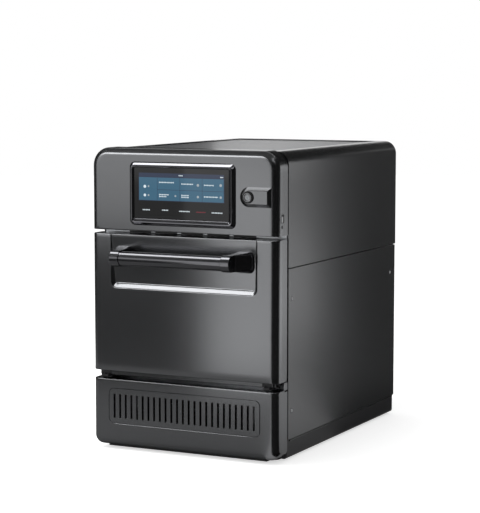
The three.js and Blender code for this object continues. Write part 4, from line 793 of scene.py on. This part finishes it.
class SPEED_OVEN_OT_screen(bpy.types.Operator):
    """Build the screen frame, its glass and the lit picture on it"""

    bl_idname = "speed_oven.screen"
    bl_label = "Touch Screen"

    def execute(self, context):
        rise, slope = mm(sizes().bezel_height), mm(sizes().bezel_slope)
        brink, mouth = (11.6, 11.6, 12.6, 9.6), (12, 12, 13, 10)
        profile = [
            (0, 11.0, 1.2), (0, 11.0, 0), (0.3, 10.8, -0.5), (slope - 0.7, 7.6, -rise + 0.5),
            (slope, 7.2, -rise), (slope + 0.7, 6.8, -rise), (brink, 3.4, -4.9), (mouth, 3.0, -4.4),
            (mouth, 3.0, -2.0),
        ]
        rings = np.stack([ring(BEZEL, *row) for row in profile])
        piece = shape("screen_frame", [patch(rings, wrap=True)], FORWARD)
        dress(piece, "oven", plated_metal(), "gloss_black", ("screen_bezel",), wall=0.9)
        profile = [(2.0, PANE_BACK), (0.3, PANE_BACK), (0.3, PANE_FRONT + 0.3), (0.6, PANE_FRONT),
                   (2.0, PANE_FRONT)]
        glass = np.stack([ring(PANE, inset, 2.7 - inset / 2, y) for inset, y in profile])
        middle = sum(PANE[2:]) / 2
        back, front = (np.full_like(glass[:1], 1) * (0.0, y, middle) for y in (PANE_BACK, PANE_FRONT))
        piece = shape("touch_pane", [patch(np.concatenate([back, glass, front]), wrap=True)], FORWARD)
        dress(piece, "oven", tinted_glass(), "screen_glass", ("touch_glass",))
        self.picture()
        return {"FINISHED"}

    def picture(self):
        """Lit patches a hair in front of the glass: a header strip, seven tiles, plain bars and round marks
        where words and icons stand, and five keys below."""
        columns, splits = (-90.5, -51.0, -2.5, 45.0, 90.5), (490.5, 511.0, 534.0)
        gap = 0.35
        tiles = [(columns[0], columns[1] - gap, splits[0], splits[2])]
        tiles += [(columns[i] + gap, columns[i + 1] - gap, splits[j] + gap * j, splits[j + 1] - gap * (1 - j))
                  for i in (1, 2, 3) for j in (0, 1)]
        header = [(-91, 91, 534.6, 542.4), (-91.5, 91.5, 489.6, 534.5)]
        lines = [(-47, -16, 525), (1, 25, 523), (49, 68, 522), (-47, -27, 501.8), (-47, -33, 498.2),
                 (1, 17, 501.6), (1, 17, 498), (49, 78, 500.2), (-5, 4, 538.6), (83, 89, 537.6),
                 (-83, -68, 472), (-41, -29, 472.4), (-4, 17, 471.4), (65, 88, 470.8)]
        dots = [(-78, 516.5, 2.9), (-78, 500, 2.7)]
        dim_dots = [(-70, 517, 1.8), (-70, 500, 1.8), (36, 521.5, 2.6), (84, 522.5, 2.7), (36, 499.5, 2.4),
                    (84, 500, 2.4), (-12, 500, 1.9)]
        mark = colours().mark
        low, middle, high = (PANE_FRONT - lift for lift in (0.03, 0.08, 0.13))
        layers = (
            ("screen_backlight", boxes(header), low, "header", colours().header, 0.9),
            ("screen_tiles", boxes(tiles), middle, "tile", colours().tile, 0.9),
            ("screen_marks", self.dashes(lines), high, "mark", mark, 0.7),
            ("screen_dots", discs(dots), high, "mark", mark, 0.7),
            ("screen_icons", discs(dim_dots), high, "icon", shade(mark, 0.45), 0.8),
            ("screen_stop_key", self.dashes([(32, 51, 471)]), high, "stop", colours().stop_mark, 0.6),
        )
        for name, outlines, y, label, base, strength in layers:
            piece = shape(name, [prisms(outlines, PANE_FRONT + 0.05, y)], FORWARD)
            dress(piece, "oven", lit(f"lit_{label}", base, strength), "display")

    def dashes(self, lines):
        """Rows of short upright bars that stand for words: a bar every 2.3 mm from the start of a line to
        its end, each a little taller or shorter by the sine of its place."""
        pitch, width = 2.3, 1.6
        starts = [np.arange(start, end, pitch) for start, end, _ in lines]
        x = np.concatenate(starts)
        z = np.concatenate([np.full(len(row), line[2]) for row, line in zip(starts, lines)])
        tall = 1.0 + 0.25 * np.sin(x * 1.7)
        return boxes(np.stack([x, x + width, z - tall, z + tall], axis=-1))


class SPEED_OVEN_OT_button(bpy.types.Operator):
    """Build the button's ring, its dished cap and the power sign on it"""

    bl_idname = "speed_oven.button"
    bl_label = "Power Button"

    def execute(self, context):
        centre = (BUTTON[0], 0, BUTTON[1])
        outside, inside, foot, face = 11.3, 9.35, -3.0, -7.5
        collar = [(outside, foot), (outside, face + 0.6), (11.1, face + 0.2), (10.7, face), (9.75, face),
                  (9.45, face + 0.2), (inside, face + 0.7), (inside, foot), (outside, foot)]
        piece = shape("button_collar", [turned(collar, centre, "y")], FORWARD)
        dress(piece, "oven", satin_plastic(), "gloss_black", ("button_ring",))
        front = span("power_button", "y")[0] - FRONT
        radius = np.array([0, 3, 5, 5.9, 6.2, 6.5, 6.8, 7.1, 7.3, 7.8, 8.3])
        dish = front + 0.5 * smooth((7.2 - radius) / 1.2)
        cap = [*zip(radius, dish), (8.7, front + 0.15), (8.95, front + 0.6), (8.95, -2.0), (0.0, -2.0)]
        piece = shape("button_cap", [turned(cap, centre, "y")], FORWARD)
        dress(piece, "power_button", front_coat(), "black_coat", ("power_button",))
        self.sign(front)
        return {"FINISHED"}

    def sign(self, front):
        """An open circle and a short stroke: a square section carried round the angle, with closed ends."""
        angle = np.linspace(radians(130), radians(410), 29)
        middle = BUTTON[1] - 0.25
        section = ((2.7, 0.82), (2.7, 0.46), (3.3, 0.46), (3.3, 0.82), (2.7, 0.82))
        loop = np.stack([np.stack([BUTTON[0] + radius * np.cos(angle), np.full(len(angle), front + rise),
                                   middle + radius * np.sin(angle)], -1) for radius, rise in section])
        ends = [np.repeat(loop[:-1, column].mean(axis=0)[None, None], len(section), axis=0)
                for column in (0, -1)]
        stroke = prisms(boxes([(BUTTON[0] - 0.3, BUTTON[0] + 0.3, middle + 0.6, middle + 4)]), front + 0.7,
                        front + 0.44)
        open_circle = patch(np.concatenate([ends[0], loop, ends[1]], axis=1))
        piece = shape("button_sign", [open_circle, stroke], FORWARD)
        dress(piece, "power_button", lit("lit_icon", shade(colours().mark, 0.45), 0.8), "display")


# Handle


class SPEED_OVEN_OT_handle(bpy.types.Operator):
    """Build the handle bar, its end caps and their flared arms"""

    bl_idname = "speed_oven.handle"
    bl_label = "Handle"

    def execute(self, context):
        radius, cap, end = mm(sizes().bar_radius), mm(sizes().cap_radius), 109
        bar = [(0, -end), (radius, -end), (radius, end), (0, end)]
        piece = shape("handle_tube", [turned(bar, BAR_CENTRE, "x", 64)], FORWARD)
        dress(piece, "door", bar_coat(), "satin_black", ("handle_bar",))
        ends = [(0, 108.6), (radius - 0.5, 108.6), (radius + 0.2, 108.2), (cap - 0.5, 108.2),
                (cap - 0.1, 108.5), (cap, 109.0), (cap, 126.2), (cap - 0.25, 126.75), (cap - 0.8, 127.0),
                (0, 127.0)]
        for side, label in ((-1, "left"), (1, "right")):
            profile = [(wide, side * along) for wide, along in ends]
            patches = [turned(profile, BAR_CENTRE, "x", 64), self.arm(side, cap)]
            piece = shape(f"handle_arm_{label}", patches, FORWARD)
            dress(piece, "door", bar_coat(), "satin_black", (f"handle_bracket_{label}",), bevel=0.4)
        return {"FINISHED"}

    def arm(self, side, cap):
        """The arm behind a cap: a rounded rectangle whose outer side flares with the share of the way back,
        level at first and at the foot, while its top and bottom spread and its corners grow towards the
        foot."""
        _, front, middle = BAR_CENTRE
        reach, widest, inner, outer = 48.6, 22.5, 113.0, 126.6
        rows = []
        for share in np.linspace(0, 1, 25):
            flare = widest * float(smooth(max(share - 0.1, 0) / 0.9))
            top = middle + cap - 0.2 + 4.0 * share**2
            low = middle - cap + 0.2 - 6.0 * share**2
            corner = 0.8 + 9.0 * float(smooth(share))
            loop = rounded_loop(inner - 4.0 * share, outer + flare, low, top, corner)
            rows.append(spread(loop * (side, 1), front + share * reach))
        ends = [np.repeat(row.mean(axis=0, keepdims=True), len(row), axis=0) for row in (rows[0], rows[-1])]
        return patch(np.stack([ends[0]] + rows + [ends[1]]), wrap=True)


# Body


class SPEED_OVEN_OT_cover(bpy.types.Operator):
    """Build the upper cover with its bent shoulders, its hem, a dark backing of painted shade behind its seam
    and the roof grille
    """

    bl_idname = "speed_oven.cover"
    bl_label = "Cover and Roof Grille"

    def execute(self, context):
        seam, top = span("upper_cover", "z")
        front, back = (end - FRONT for end in span("upper_cover", "y"))
        side, bend = span("upper_cover", "x")[1], mm(sizes().shoulder)
        turn, rise = np.linspace(0, pi / 2, 12), np.linspace(seam, top - bend, 6)
        wall = np.stack([np.full(len(rise), -side), rise], -1)
        arc = np.stack([-side + bend - bend * np.cos(turn), top - bend + bend * np.sin(turn)], -1)
        roof_side, roof_front, roof_back = -160, 75, 570
        left = np.concatenate([wall, arc[1:], [(roof_side, top)]])
        path = np.concatenate([left, left[::-1] * (-1, 1)])
        grid = np.stack([spread(path, y) for y in (front, roof_front, 200, 320, 440, roof_back, back)])
        keep = np.ones((len(grid) - 1, len(path) - 1), bool)
        # The sheet is left open where the roof grille lies
        keep[1:-1, len(left) - 1] = False
        piece = shape("cover_sheet", [patch(grid, keep=keep)], UP)
        dress(piece, "oven", side_coat(), "black_coat", ("upper_cover",), wall=mm(sizes().sheet))
        foot, inside = 46.0, 1.7
        inner = [arch(side - inset, foot, top - inset, bend - inset) for inset in (inside, inside + 9)]
        hem = np.stack([spread(path, front + 3.2) for path in inner])
        dress(shape("cover_hem", [patch(hem)], FORWARD), "oven", plinth_coat(), "dark_coat", wall=0.8)
        # A dark strip behind the seam between cover and side panel: painted shade, so that the seam looks
        # dark
        backing = np.array([[(x, z) for z in (seam - 7, seam + 7)] for x in (-side + 3.6, side - 3.6)])
        strips = [patch(np.stack([spread(pair, y) for y in (front + 4, back - 4)])) for pair in backing]
        dress(shape("seam_shade_backing", strips, UP), "oven", plinth_coat(), "dark_coat", wall=0.6)
        self.roof()
        return {"FINISHED"}

    def roof(self):
        """A flat grid of square cells in the roof, from which every second cell of every second row is left
        out, but not near the rim."""
        cell, rim = mm(sizes().mesh_pitch) / 2, 3
        x, y = (np.arange(low + 1, high - 1, cell) for low, high in
                (span("top_vent_grille", "x"), np.array(span("top_vent_grille", "y")) - FRONT))
        across, along = np.meshgrid(x, y)
        level = np.full(across.shape, span("top_vent_grille", "z")[1] - 0.1)
        row, column = np.mgrid[: len(y) - 1, : len(x) - 1]
        border = (np.minimum(row, len(y) - 2 - row) < rim) | (np.minimum(column, len(x) - 2 - column) < rim)
        keep = border | (row % 2 == 0) | (column % 2 == 0)
        piece = shape("roof_grille", [patch(np.stack([across, along, level], -1), keep=keep)], UP)
        dress(piece, "oven", grille_sheet(), "black_coat", ("top_vent_grille",), wall=1.2)


class SPEED_OVEN_OT_fittings(bpy.types.Operator):
    """Add the screws, the seams at the base, the dark strips behind the slots and the service plate; the
    seams, the strips and the screws' seats are painted shade
    """

    bl_idname = "speed_oven.fittings"
    bl_label = "Fittings"

    def execute(self, context):
        face = span("side_panel_right", "x")[1]
        self.screws(face)
        slot, pitch = 47, 56.5
        slots = [(x - slot / 2, x + slot / 2, 423.2, 429.4) for x in np.arange(-2, 3) * pitch]
        # Dark strips behind the five outlet slots: painted shade, so that the slots look dark
        self.add("outlet_slot_painted_shade", prisms(boxes(slots), 38.7, 39.8), FORWARD)
        border = 24
        (x0, x1), (z0, z1) = span("rear_panel", "x"), span("rear_panel", "z")
        sheet = boxes([(x0 + border, x1 - border, z0 + border, z1 - border)])
        inside = span("rear_panel", "y")[0] - FRONT - 0.4
        self.add("rear_dust_filter", prisms(sheet, inside - 0.8, inside), (0, 1, 0))
        for side, label in ((-1, "left"), (1, "right")):
            self.base_edge(side, label, face)
        self.service_plate()
        return {"FINISHED"}

    def add(self, name, part, outward, coat=satin_plastic, slot="satin_black", **more):
        """One small piece of the body."""
        dress(shape(name, [part], outward), "oven", coat(), slot, **more)

    def screws(self, face):
        """Three screws in each side panel, each in a flat dark seat of painted shade round its head."""
        head = [(0, 0.1), (1.1, 0.1), (1.3, 1.0), (2.2, 1.0), (2.9, 0.7), (3.3, 0.0), (3.3, -0.6), (0, -0.6)]
        # The dark seat paints the shade of the recess round each screw head
        seat_shade = [(0, 0.05), (4.2, 0.05), (4.2, -0.5), (0, -0.5)]
        places = [(side, y, z) for side in (-1, 1) for y, z in ((64.0, 309.0), (64.0, 95.5), (560.0, 309.0))]
        for name, profile, coat, slot in (("side_screws", head, zinc_plate, "stainless"),
                                          ("screw_painted_shade_seats", seat_shade, satin_plastic, "satin_black")):
            patches = [turned([(wide, side * out) for wide, out in profile], (side * face, y, z), "x", 20)
                       for side, y, z in places]
            dress(shape(name, patches, RIGHT), "oven", coat(), slot)

    def base_edge(self, side, label, face):
        """A half-round bead along the top of the base, with its ends closed, and above it a dark strip of
        painted shade in the seam.
        """
        start, end = 59, 580
        turn = np.linspace(-pi / 2, pi / 2, 9)
        bead = np.stack([side * (face - 3 + 2.2 * np.cos(turn)), 38.2 + 1.2 * np.sin(turn)], axis=-1)
        middle = np.full_like(bead, 1) * bead.mean(axis=0)
        stations = ((middle, start), (bead, start), (bead, end), (middle, end))
        rows = np.stack([spread(path, y) for path, y in stations])
        self.add(f"base_bead_{label}", patch(rows, wrap=True), (side, 0, 0), side_coat, "dark_coat")
        # The dark strip paints the shade in the step between the side panel and the base
        depths = sorted((side * (face - 2.9), side * (face - 0.1)))
        self.add(f"base_seam_{label}", sideways(prisms(boxes([(start, end, 39.6, 42.0)]), *depths)), RIGHT)

    def service_plate(self):
        """The plate on the right flange with its socket and contact, and the small service hole below, whose
        opening is a flat black disc of painted shade.
        """
        place = (HALF, 20.0, 447.0)
        eyelet = [(2.3, 0.1), (2.3, 0.3), (2.8, 0.3), (3.2, 0.1), (3.2, -0.4), (2.3, -0.4), (2.3, 0.1)]
        # The hole itself is a flat black disc: painted shade in its opening
        hole = [(0, 0.06), (2.4, 0.06), (2.4, -0.3), (0, -0.3)]
        piece = shape("service_hole_edge_and_shade", [turned(each, place, "x", 24) for each in (eyelet, hole)], RIGHT)
        dress(piece, "oven", satin_plastic(), "satin_black")
        plate = rounded_loop(15.1, 35.8, 452.5, 473.5, 1.5)[None]
        socket, contact = boxes([(17, 28.5, 454.5, 470.5)]), boxes([(18, 23.5, 456, 466.5)])
        self.add("service_plate", sideways(prisms(plate, HALF - 1, HALF + 0.15)), RIGHT, front_coat,
                 nodes=("service_port",), bevel=0.12)
        self.add("service_socket", sideways(prisms(socket, HALF, HALF + 0.2)), RIGHT)
        self.add("service_contact", sideways(prisms(contact, HALF, HALF + 0.35)), RIGHT, zinc_plate,
                 "stainless")


# Nodes of the frame that the operators above build anew
REBUILT = {
    "door_skin", "fascia_housing", "lower_front_panel", "screen_bezel", "touch_glass", "button_ring",
    "power_button", "handle_bar", "handle_bracket_left", "handle_bracket_right", "upper_cover",
    "top_vent_grille", "service_port",
}


class SPEED_OVEN_OT_frame_parts(bpy.types.Operator):
    """Ease the edges of the remaining frame parts and give each its finish"""

    bl_idname = "speed_oven.frame_parts"
    bl_label = "Frame Parts"

    def execute(self, context):
        special = {"outlet_strip": brushed_steel, "intake_grille": front_coat, "front_frame": brushed_steel,
                   "door_inner_panel": side_coat}
        for name, node in frame["nodes"].items():
            if name in REBUILT:
                continue
            coat = special.get(name, SLOT_FINISHES[node.data.materials[0].name])
            if name.startswith("hinge_"):
                coat = plinth_coat
            bevel, segments = (2.4, 4) if name == "base_pan" else (0.35, 2)
            eased(name, coat(), bevel, segments)
        return {"FINISHED"}


# Studio


def turn_to(item, place, aim):
    """Puts an item at a place and turns its near side towards a point."""
    item.location = place
    item.rotation_euler = (Vector(aim) - Vector(place)).to_track_quat("-Z", "Y").to_euler()


def lamp(name, place, aim, width, height, power):
    """A soft square lamp that the camera doesn't see, turned towards a point."""
    light = bpy.data.lights.new(name, "AREA")
    light.shape, light.size, light.size_y, light.energy = "RECTANGLE", width, height, power
    holder = placed(name, light)
    turn_to(holder, place, aim)
    holder.visible_camera = False
    return holder


def link(light, role, items, state):
    """Names the pieces that a lamp lights, or whose shadow it throws, or that it leaves out."""
    found = bpy.data.collections.new(f"{light.name}_{role}")
    for item in items:
        found.objects.link(bpy.data.objects[item])
    for each in found.collection_objects:
        each.light_linking.link_state = state
    setattr(light.light_linking, f"{role}_collection", found)


def card(name, code, corners):
    """A flat card beside the view that only shows in reflections."""
    mesh = bpy.data.meshes.new(name)
    mesh.from_pydata(corners, [], [tuple(range(len(corners)))])
    item = placed(name, mesh)
    item.visible_camera = item.visible_diffuse = item.visible_shadow = False
    mesh.materials.append(finish(f"{name}_cloth", srgb(code), (0.9, 1.0), scale=0.2, vary=0.1))
    return item


class SPEED_OVEN_OT_studio(bpy.types.Operator):
    """Set the floor, the white room, the lamps and the camera"""

    bl_idname = "speed_oven.studio"
    bl_label = "Studio"

    def execute(self, context):
        scene = context.scene
        scene.view_settings.view_transform = "Standard"
        self.camera(scene)
        self.room(scene)
        self.floor()
        self.lamps(FRONT / 1000)
        self.cards(FRONT / 1000)
        return {"FINISHED"}

    def lamps(self, front):
        """A wide softbox overhead, a weaker one in its place for the button boss alone, a strip in front and
        a softbox at the left, each with the pieces named that it lights or leaves out, and a small fill
        near the door's foot."""
        skins = ("fascia_skin", "door_pan", "lower_panel_skin")
        over, below = (-0.9, -0.49, 2.2), (-0.9, -0.49, 0.3)
        overhead = lamp("overhead_softbox", over, below, 2.2, 0.86, 32)
        link(overhead, "blocker", ("handle_arm_left", "handle_arm_right"), "EXCLUDE")
        link(overhead, "receiver", ("fascia_skin", "button_boss"), "EXCLUDE")
        low = lamp("boss_softbox", (-0.9, -0.49, 2.19), below, 2.2, 0.86, 11)
        link(low, "receiver", ("button_boss",), "INCLUDE")
        strip = lamp("front_strip", (-1.7, -3.0, 1.45), (0, front, 0.58), 1.6, 0.8, 18)
        link(strip, "receiver", (*skins, "outlet_strip_eased", "front_frame_eased"), "INCLUDE")
        left = lamp("left_softbox", (-2.4, -1.6, 1.3), (0, 0, 0.3), 1.4, 1.8, 30)
        link(left, "receiver", skins, "EXCLUDE")
        lamp("front_fill", (-0.24, front - 0.8, 0.26), (-0.24, 0, 0.26), 0.36, 0.5, 0.25)

    def cards(self, front):
        """Upright cards from rows of two floor points, a low and a high end, and level ones from an
        outline."""
        black, dark, grey, near = "2C2C2C", "454545", "808080", front - 0.75
        upright = (
            ("front_flag", black, (-2.0, -6.0), (5.6, -1.6), -1, 3.2),
            ("right_flag", black, (3.4, -1.9), (2.4, 2.8), -0.5, 4.4),
            ("low_left_flag", "5C5C5C", (-1.3, front - 0.5), (-0.21, front - 0.5), 0.03, 0.37),
            ("right_rear_flag", dark, (0.56, 0.65), (0.56, 3.2), -0.1, 0.9),
            ("left_rear_flag", dark, (-1.5, -0.5), (-0.9, 1.6), -0.1, 1.6),
            ("left_side_flag", dark, (-1.9, -2.0), (-1.5, -0.5), -0.1, 1.6),
        )
        level = (
            ("overhead_flag", "7A7A7A", 2.26, [(-3.6, -4.6), (1.2, -4.6), (1.2, 1.0), (-3.6, 1.0)]),
            ("left_floor_flag", grey, 0.003,
             [(-1.5, near), (-0.1, near), (0.17, front), (0.19, 0.3), (-1.5, 0.3)]),
            ("near_floor_flag", "161616", 0.004,
             [(-0.17, -1.42), (1.6, -1.42), (1.6, 0.5), (0.21, -0.22), (0.2, front)]),
            ("far_floor_flag", black, 0.005,
             [(-0.1, -1.0), (-1.2, -4.2), (3.9, -4.2), (3.9, 1.5), (0.9, 0.1), (0.9, -1.0)]),
            ("right_floor_flag", dark, 0.004, [(0.2, 0.02), (0.56, 0.65), (1.8, 3.4), (0.2, 3.4)]),
            ("right_floor_glow", "FFFFFF", 0.003, [(0.75, 0.5), (3.2, 1.3), (4.0, 4.6), (1.6, 4.0)]),
        )
        for name, code, first, second, low, high in upright:
            card(name, code, [(*first, low), (*second, low), (*second, high), (*first, high)])
        card("rear_flag", black, [(-1.0, 2.5, 1.2), (2.6, 2.5, 1.0), (2.6, 2.5, 3.2), (-1.0, 2.5, 3.2)])
        for name, code, height, outline in level:
            item = card(name, code, [(*point, height) for point in outline])
        # The last one glows
        item.data.materials[0] = lit("white_card", srgb("FFFFFF"), 0.72)

    def camera(self, scene):
        """The photograph's own view."""
        view = bpy.data.cameras.new("photo_view")
        view.lens, view.sensor_width, view.sensor_fit = 126.93, 36.0, "AUTO"
        holder = placed("photo_view", view)
        holder.location = (1.6131, -3.27545, 0.7394)
        holder.rotation_euler = (radians(84.066), 0.0, radians(26.417))
        scene.camera = holder

    def room(self, scene):
        """A white room: white to the camera and in gloss and glass, and a softer grey light on everything
        else."""
        world = bpy.data.worlds.new("white_room")
        world.use_nodes = True
        tree = world.node_tree
        tree.nodes.clear()
        path = add_node(tree, "ShaderNodeLightPath")
        seen = path.outputs["Is Camera Ray"]
        for kind in ("Is Glossy Ray", "Is Transmission Ray"):
            either = add_node(tree, "ShaderNodeMath", {0: seen, 1: path.outputs[kind]}, operation="MAXIMUM")
            seen = either.outputs[0]
        soft, white = (add_node(tree, "ShaderNodeBackground", {"Color": srgb("FFFFFF"), "Strength": strength})
                       for strength in (0.6, 1.0))
        mix = add_node(tree, "ShaderNodeMixShader", {0: seen, 1: soft.outputs[0], 2: white.outputs[0]})
        add_node(tree, "ShaderNodeOutputWorld", {"Surface": mix.outputs[0]})
        scene.world = world

    def floor(self):
        """A wide round floor that glows white to the camera and keeps the shadow of what stands on it."""
        steps, radius = 96, 9
        angle = np.linspace(0, 2 * pi, steps, endpoint=False)
        circle = np.stack([radius * np.cos(angle), radius * np.sin(angle), np.zeros(steps)], axis=-1)
        mesh = bpy.data.meshes.new("studio_floor")
        mesh.from_pydata(circle.tolist(), [], [list(range(steps))])
        item = placed("studio_floor", mesh)
        material = bpy.data.materials.new("pale_studio_floor")
        material.use_nodes = True
        tree = material.node_tree
        tree.nodes.clear()
        cloudy = tint(tree, grain(tree, 0.002).outputs["Fac"], shade(colours().floor, 0.98), colours().floor)
        matt = add_node(tree, "ShaderNodeBsdfDiffuse", {"Color": cloudy})
        glow = add_node(tree, "ShaderNodeEmission", {"Color": srgb("FFFFFF"), "Strength": 0.6})
        both = add_node(tree, "ShaderNodeAddShader", {0: matt.outputs[0], 1: glow.outputs[0]})
        path = add_node(tree, "ShaderNodeLightPath")
        mix = add_node(tree, "ShaderNodeMixShader",
                       {0: path.outputs["Is Camera Ray"], 1: matt.outputs[0], 2: both.outputs[0]})
        add_node(tree, "ShaderNodeOutputMaterial", {"Surface": mix.outputs[0]})
        mesh.materials.append(material)


# Panel and run


class SPEED_OVEN_PT_panel(bpy.types.Panel):
    """Sizes, colours and building steps of the speed oven"""

    bl_idname = "SPEED_OVEN_PT_panel"
    bl_label = "Speed Oven"
    bl_space_type = "VIEW_3D"
    bl_region_type = "UI"
    bl_category = "Speed Oven"

    def draw(self, context):
        for title, settings in (("Sizes", sizes()), ("Colours", colours())):
            box = self.layout.box()
            box.label(text=title)
            for key in settings.__annotations__:
                box.prop(settings, key)
        for step in STEPS:
            self.layout.operator(step.bl_idname)


STEPS = (
    SPEED_OVEN_OT_door,
    SPEED_OVEN_OT_fascia,
    SPEED_OVEN_OT_lower_panel,
    SPEED_OVEN_OT_screen,
    SPEED_OVEN_OT_button,
    SPEED_OVEN_OT_handle,
    SPEED_OVEN_OT_cover,
    SPEED_OVEN_OT_fittings,
    SPEED_OVEN_OT_frame_parts,
    SPEED_OVEN_OT_studio,
)
CLASSES = (SpeedOvenSizes, SpeedOvenColours, *STEPS, SPEED_OVEN_PT_panel)


def register():
    """Makes the settings, the building steps and the panel known."""
    for each in CLASSES:
        bpy.utils.register_class(each)
    bpy.types.Scene.speed_oven_sizes = bpy.props.PointerProperty(type=SpeedOvenSizes)
    bpy.types.Scene.speed_oven_colours = bpy.props.PointerProperty(type=SpeedOvenColours)


def unregister():
    """Takes them away again."""
    del bpy.types.Scene.speed_oven_colours
    del bpy.types.Scene.speed_oven_sizes
    for each in reversed(CLASSES):
        bpy.utils.unregister_class(each)


def main():
    """Runs every step in order."""
    register()
    for step in STEPS:
        family, call = step.bl_idname.split(".")
        getattr(getattr(bpy.ops, family), call)()


if __name__ == "__main__":
    main()
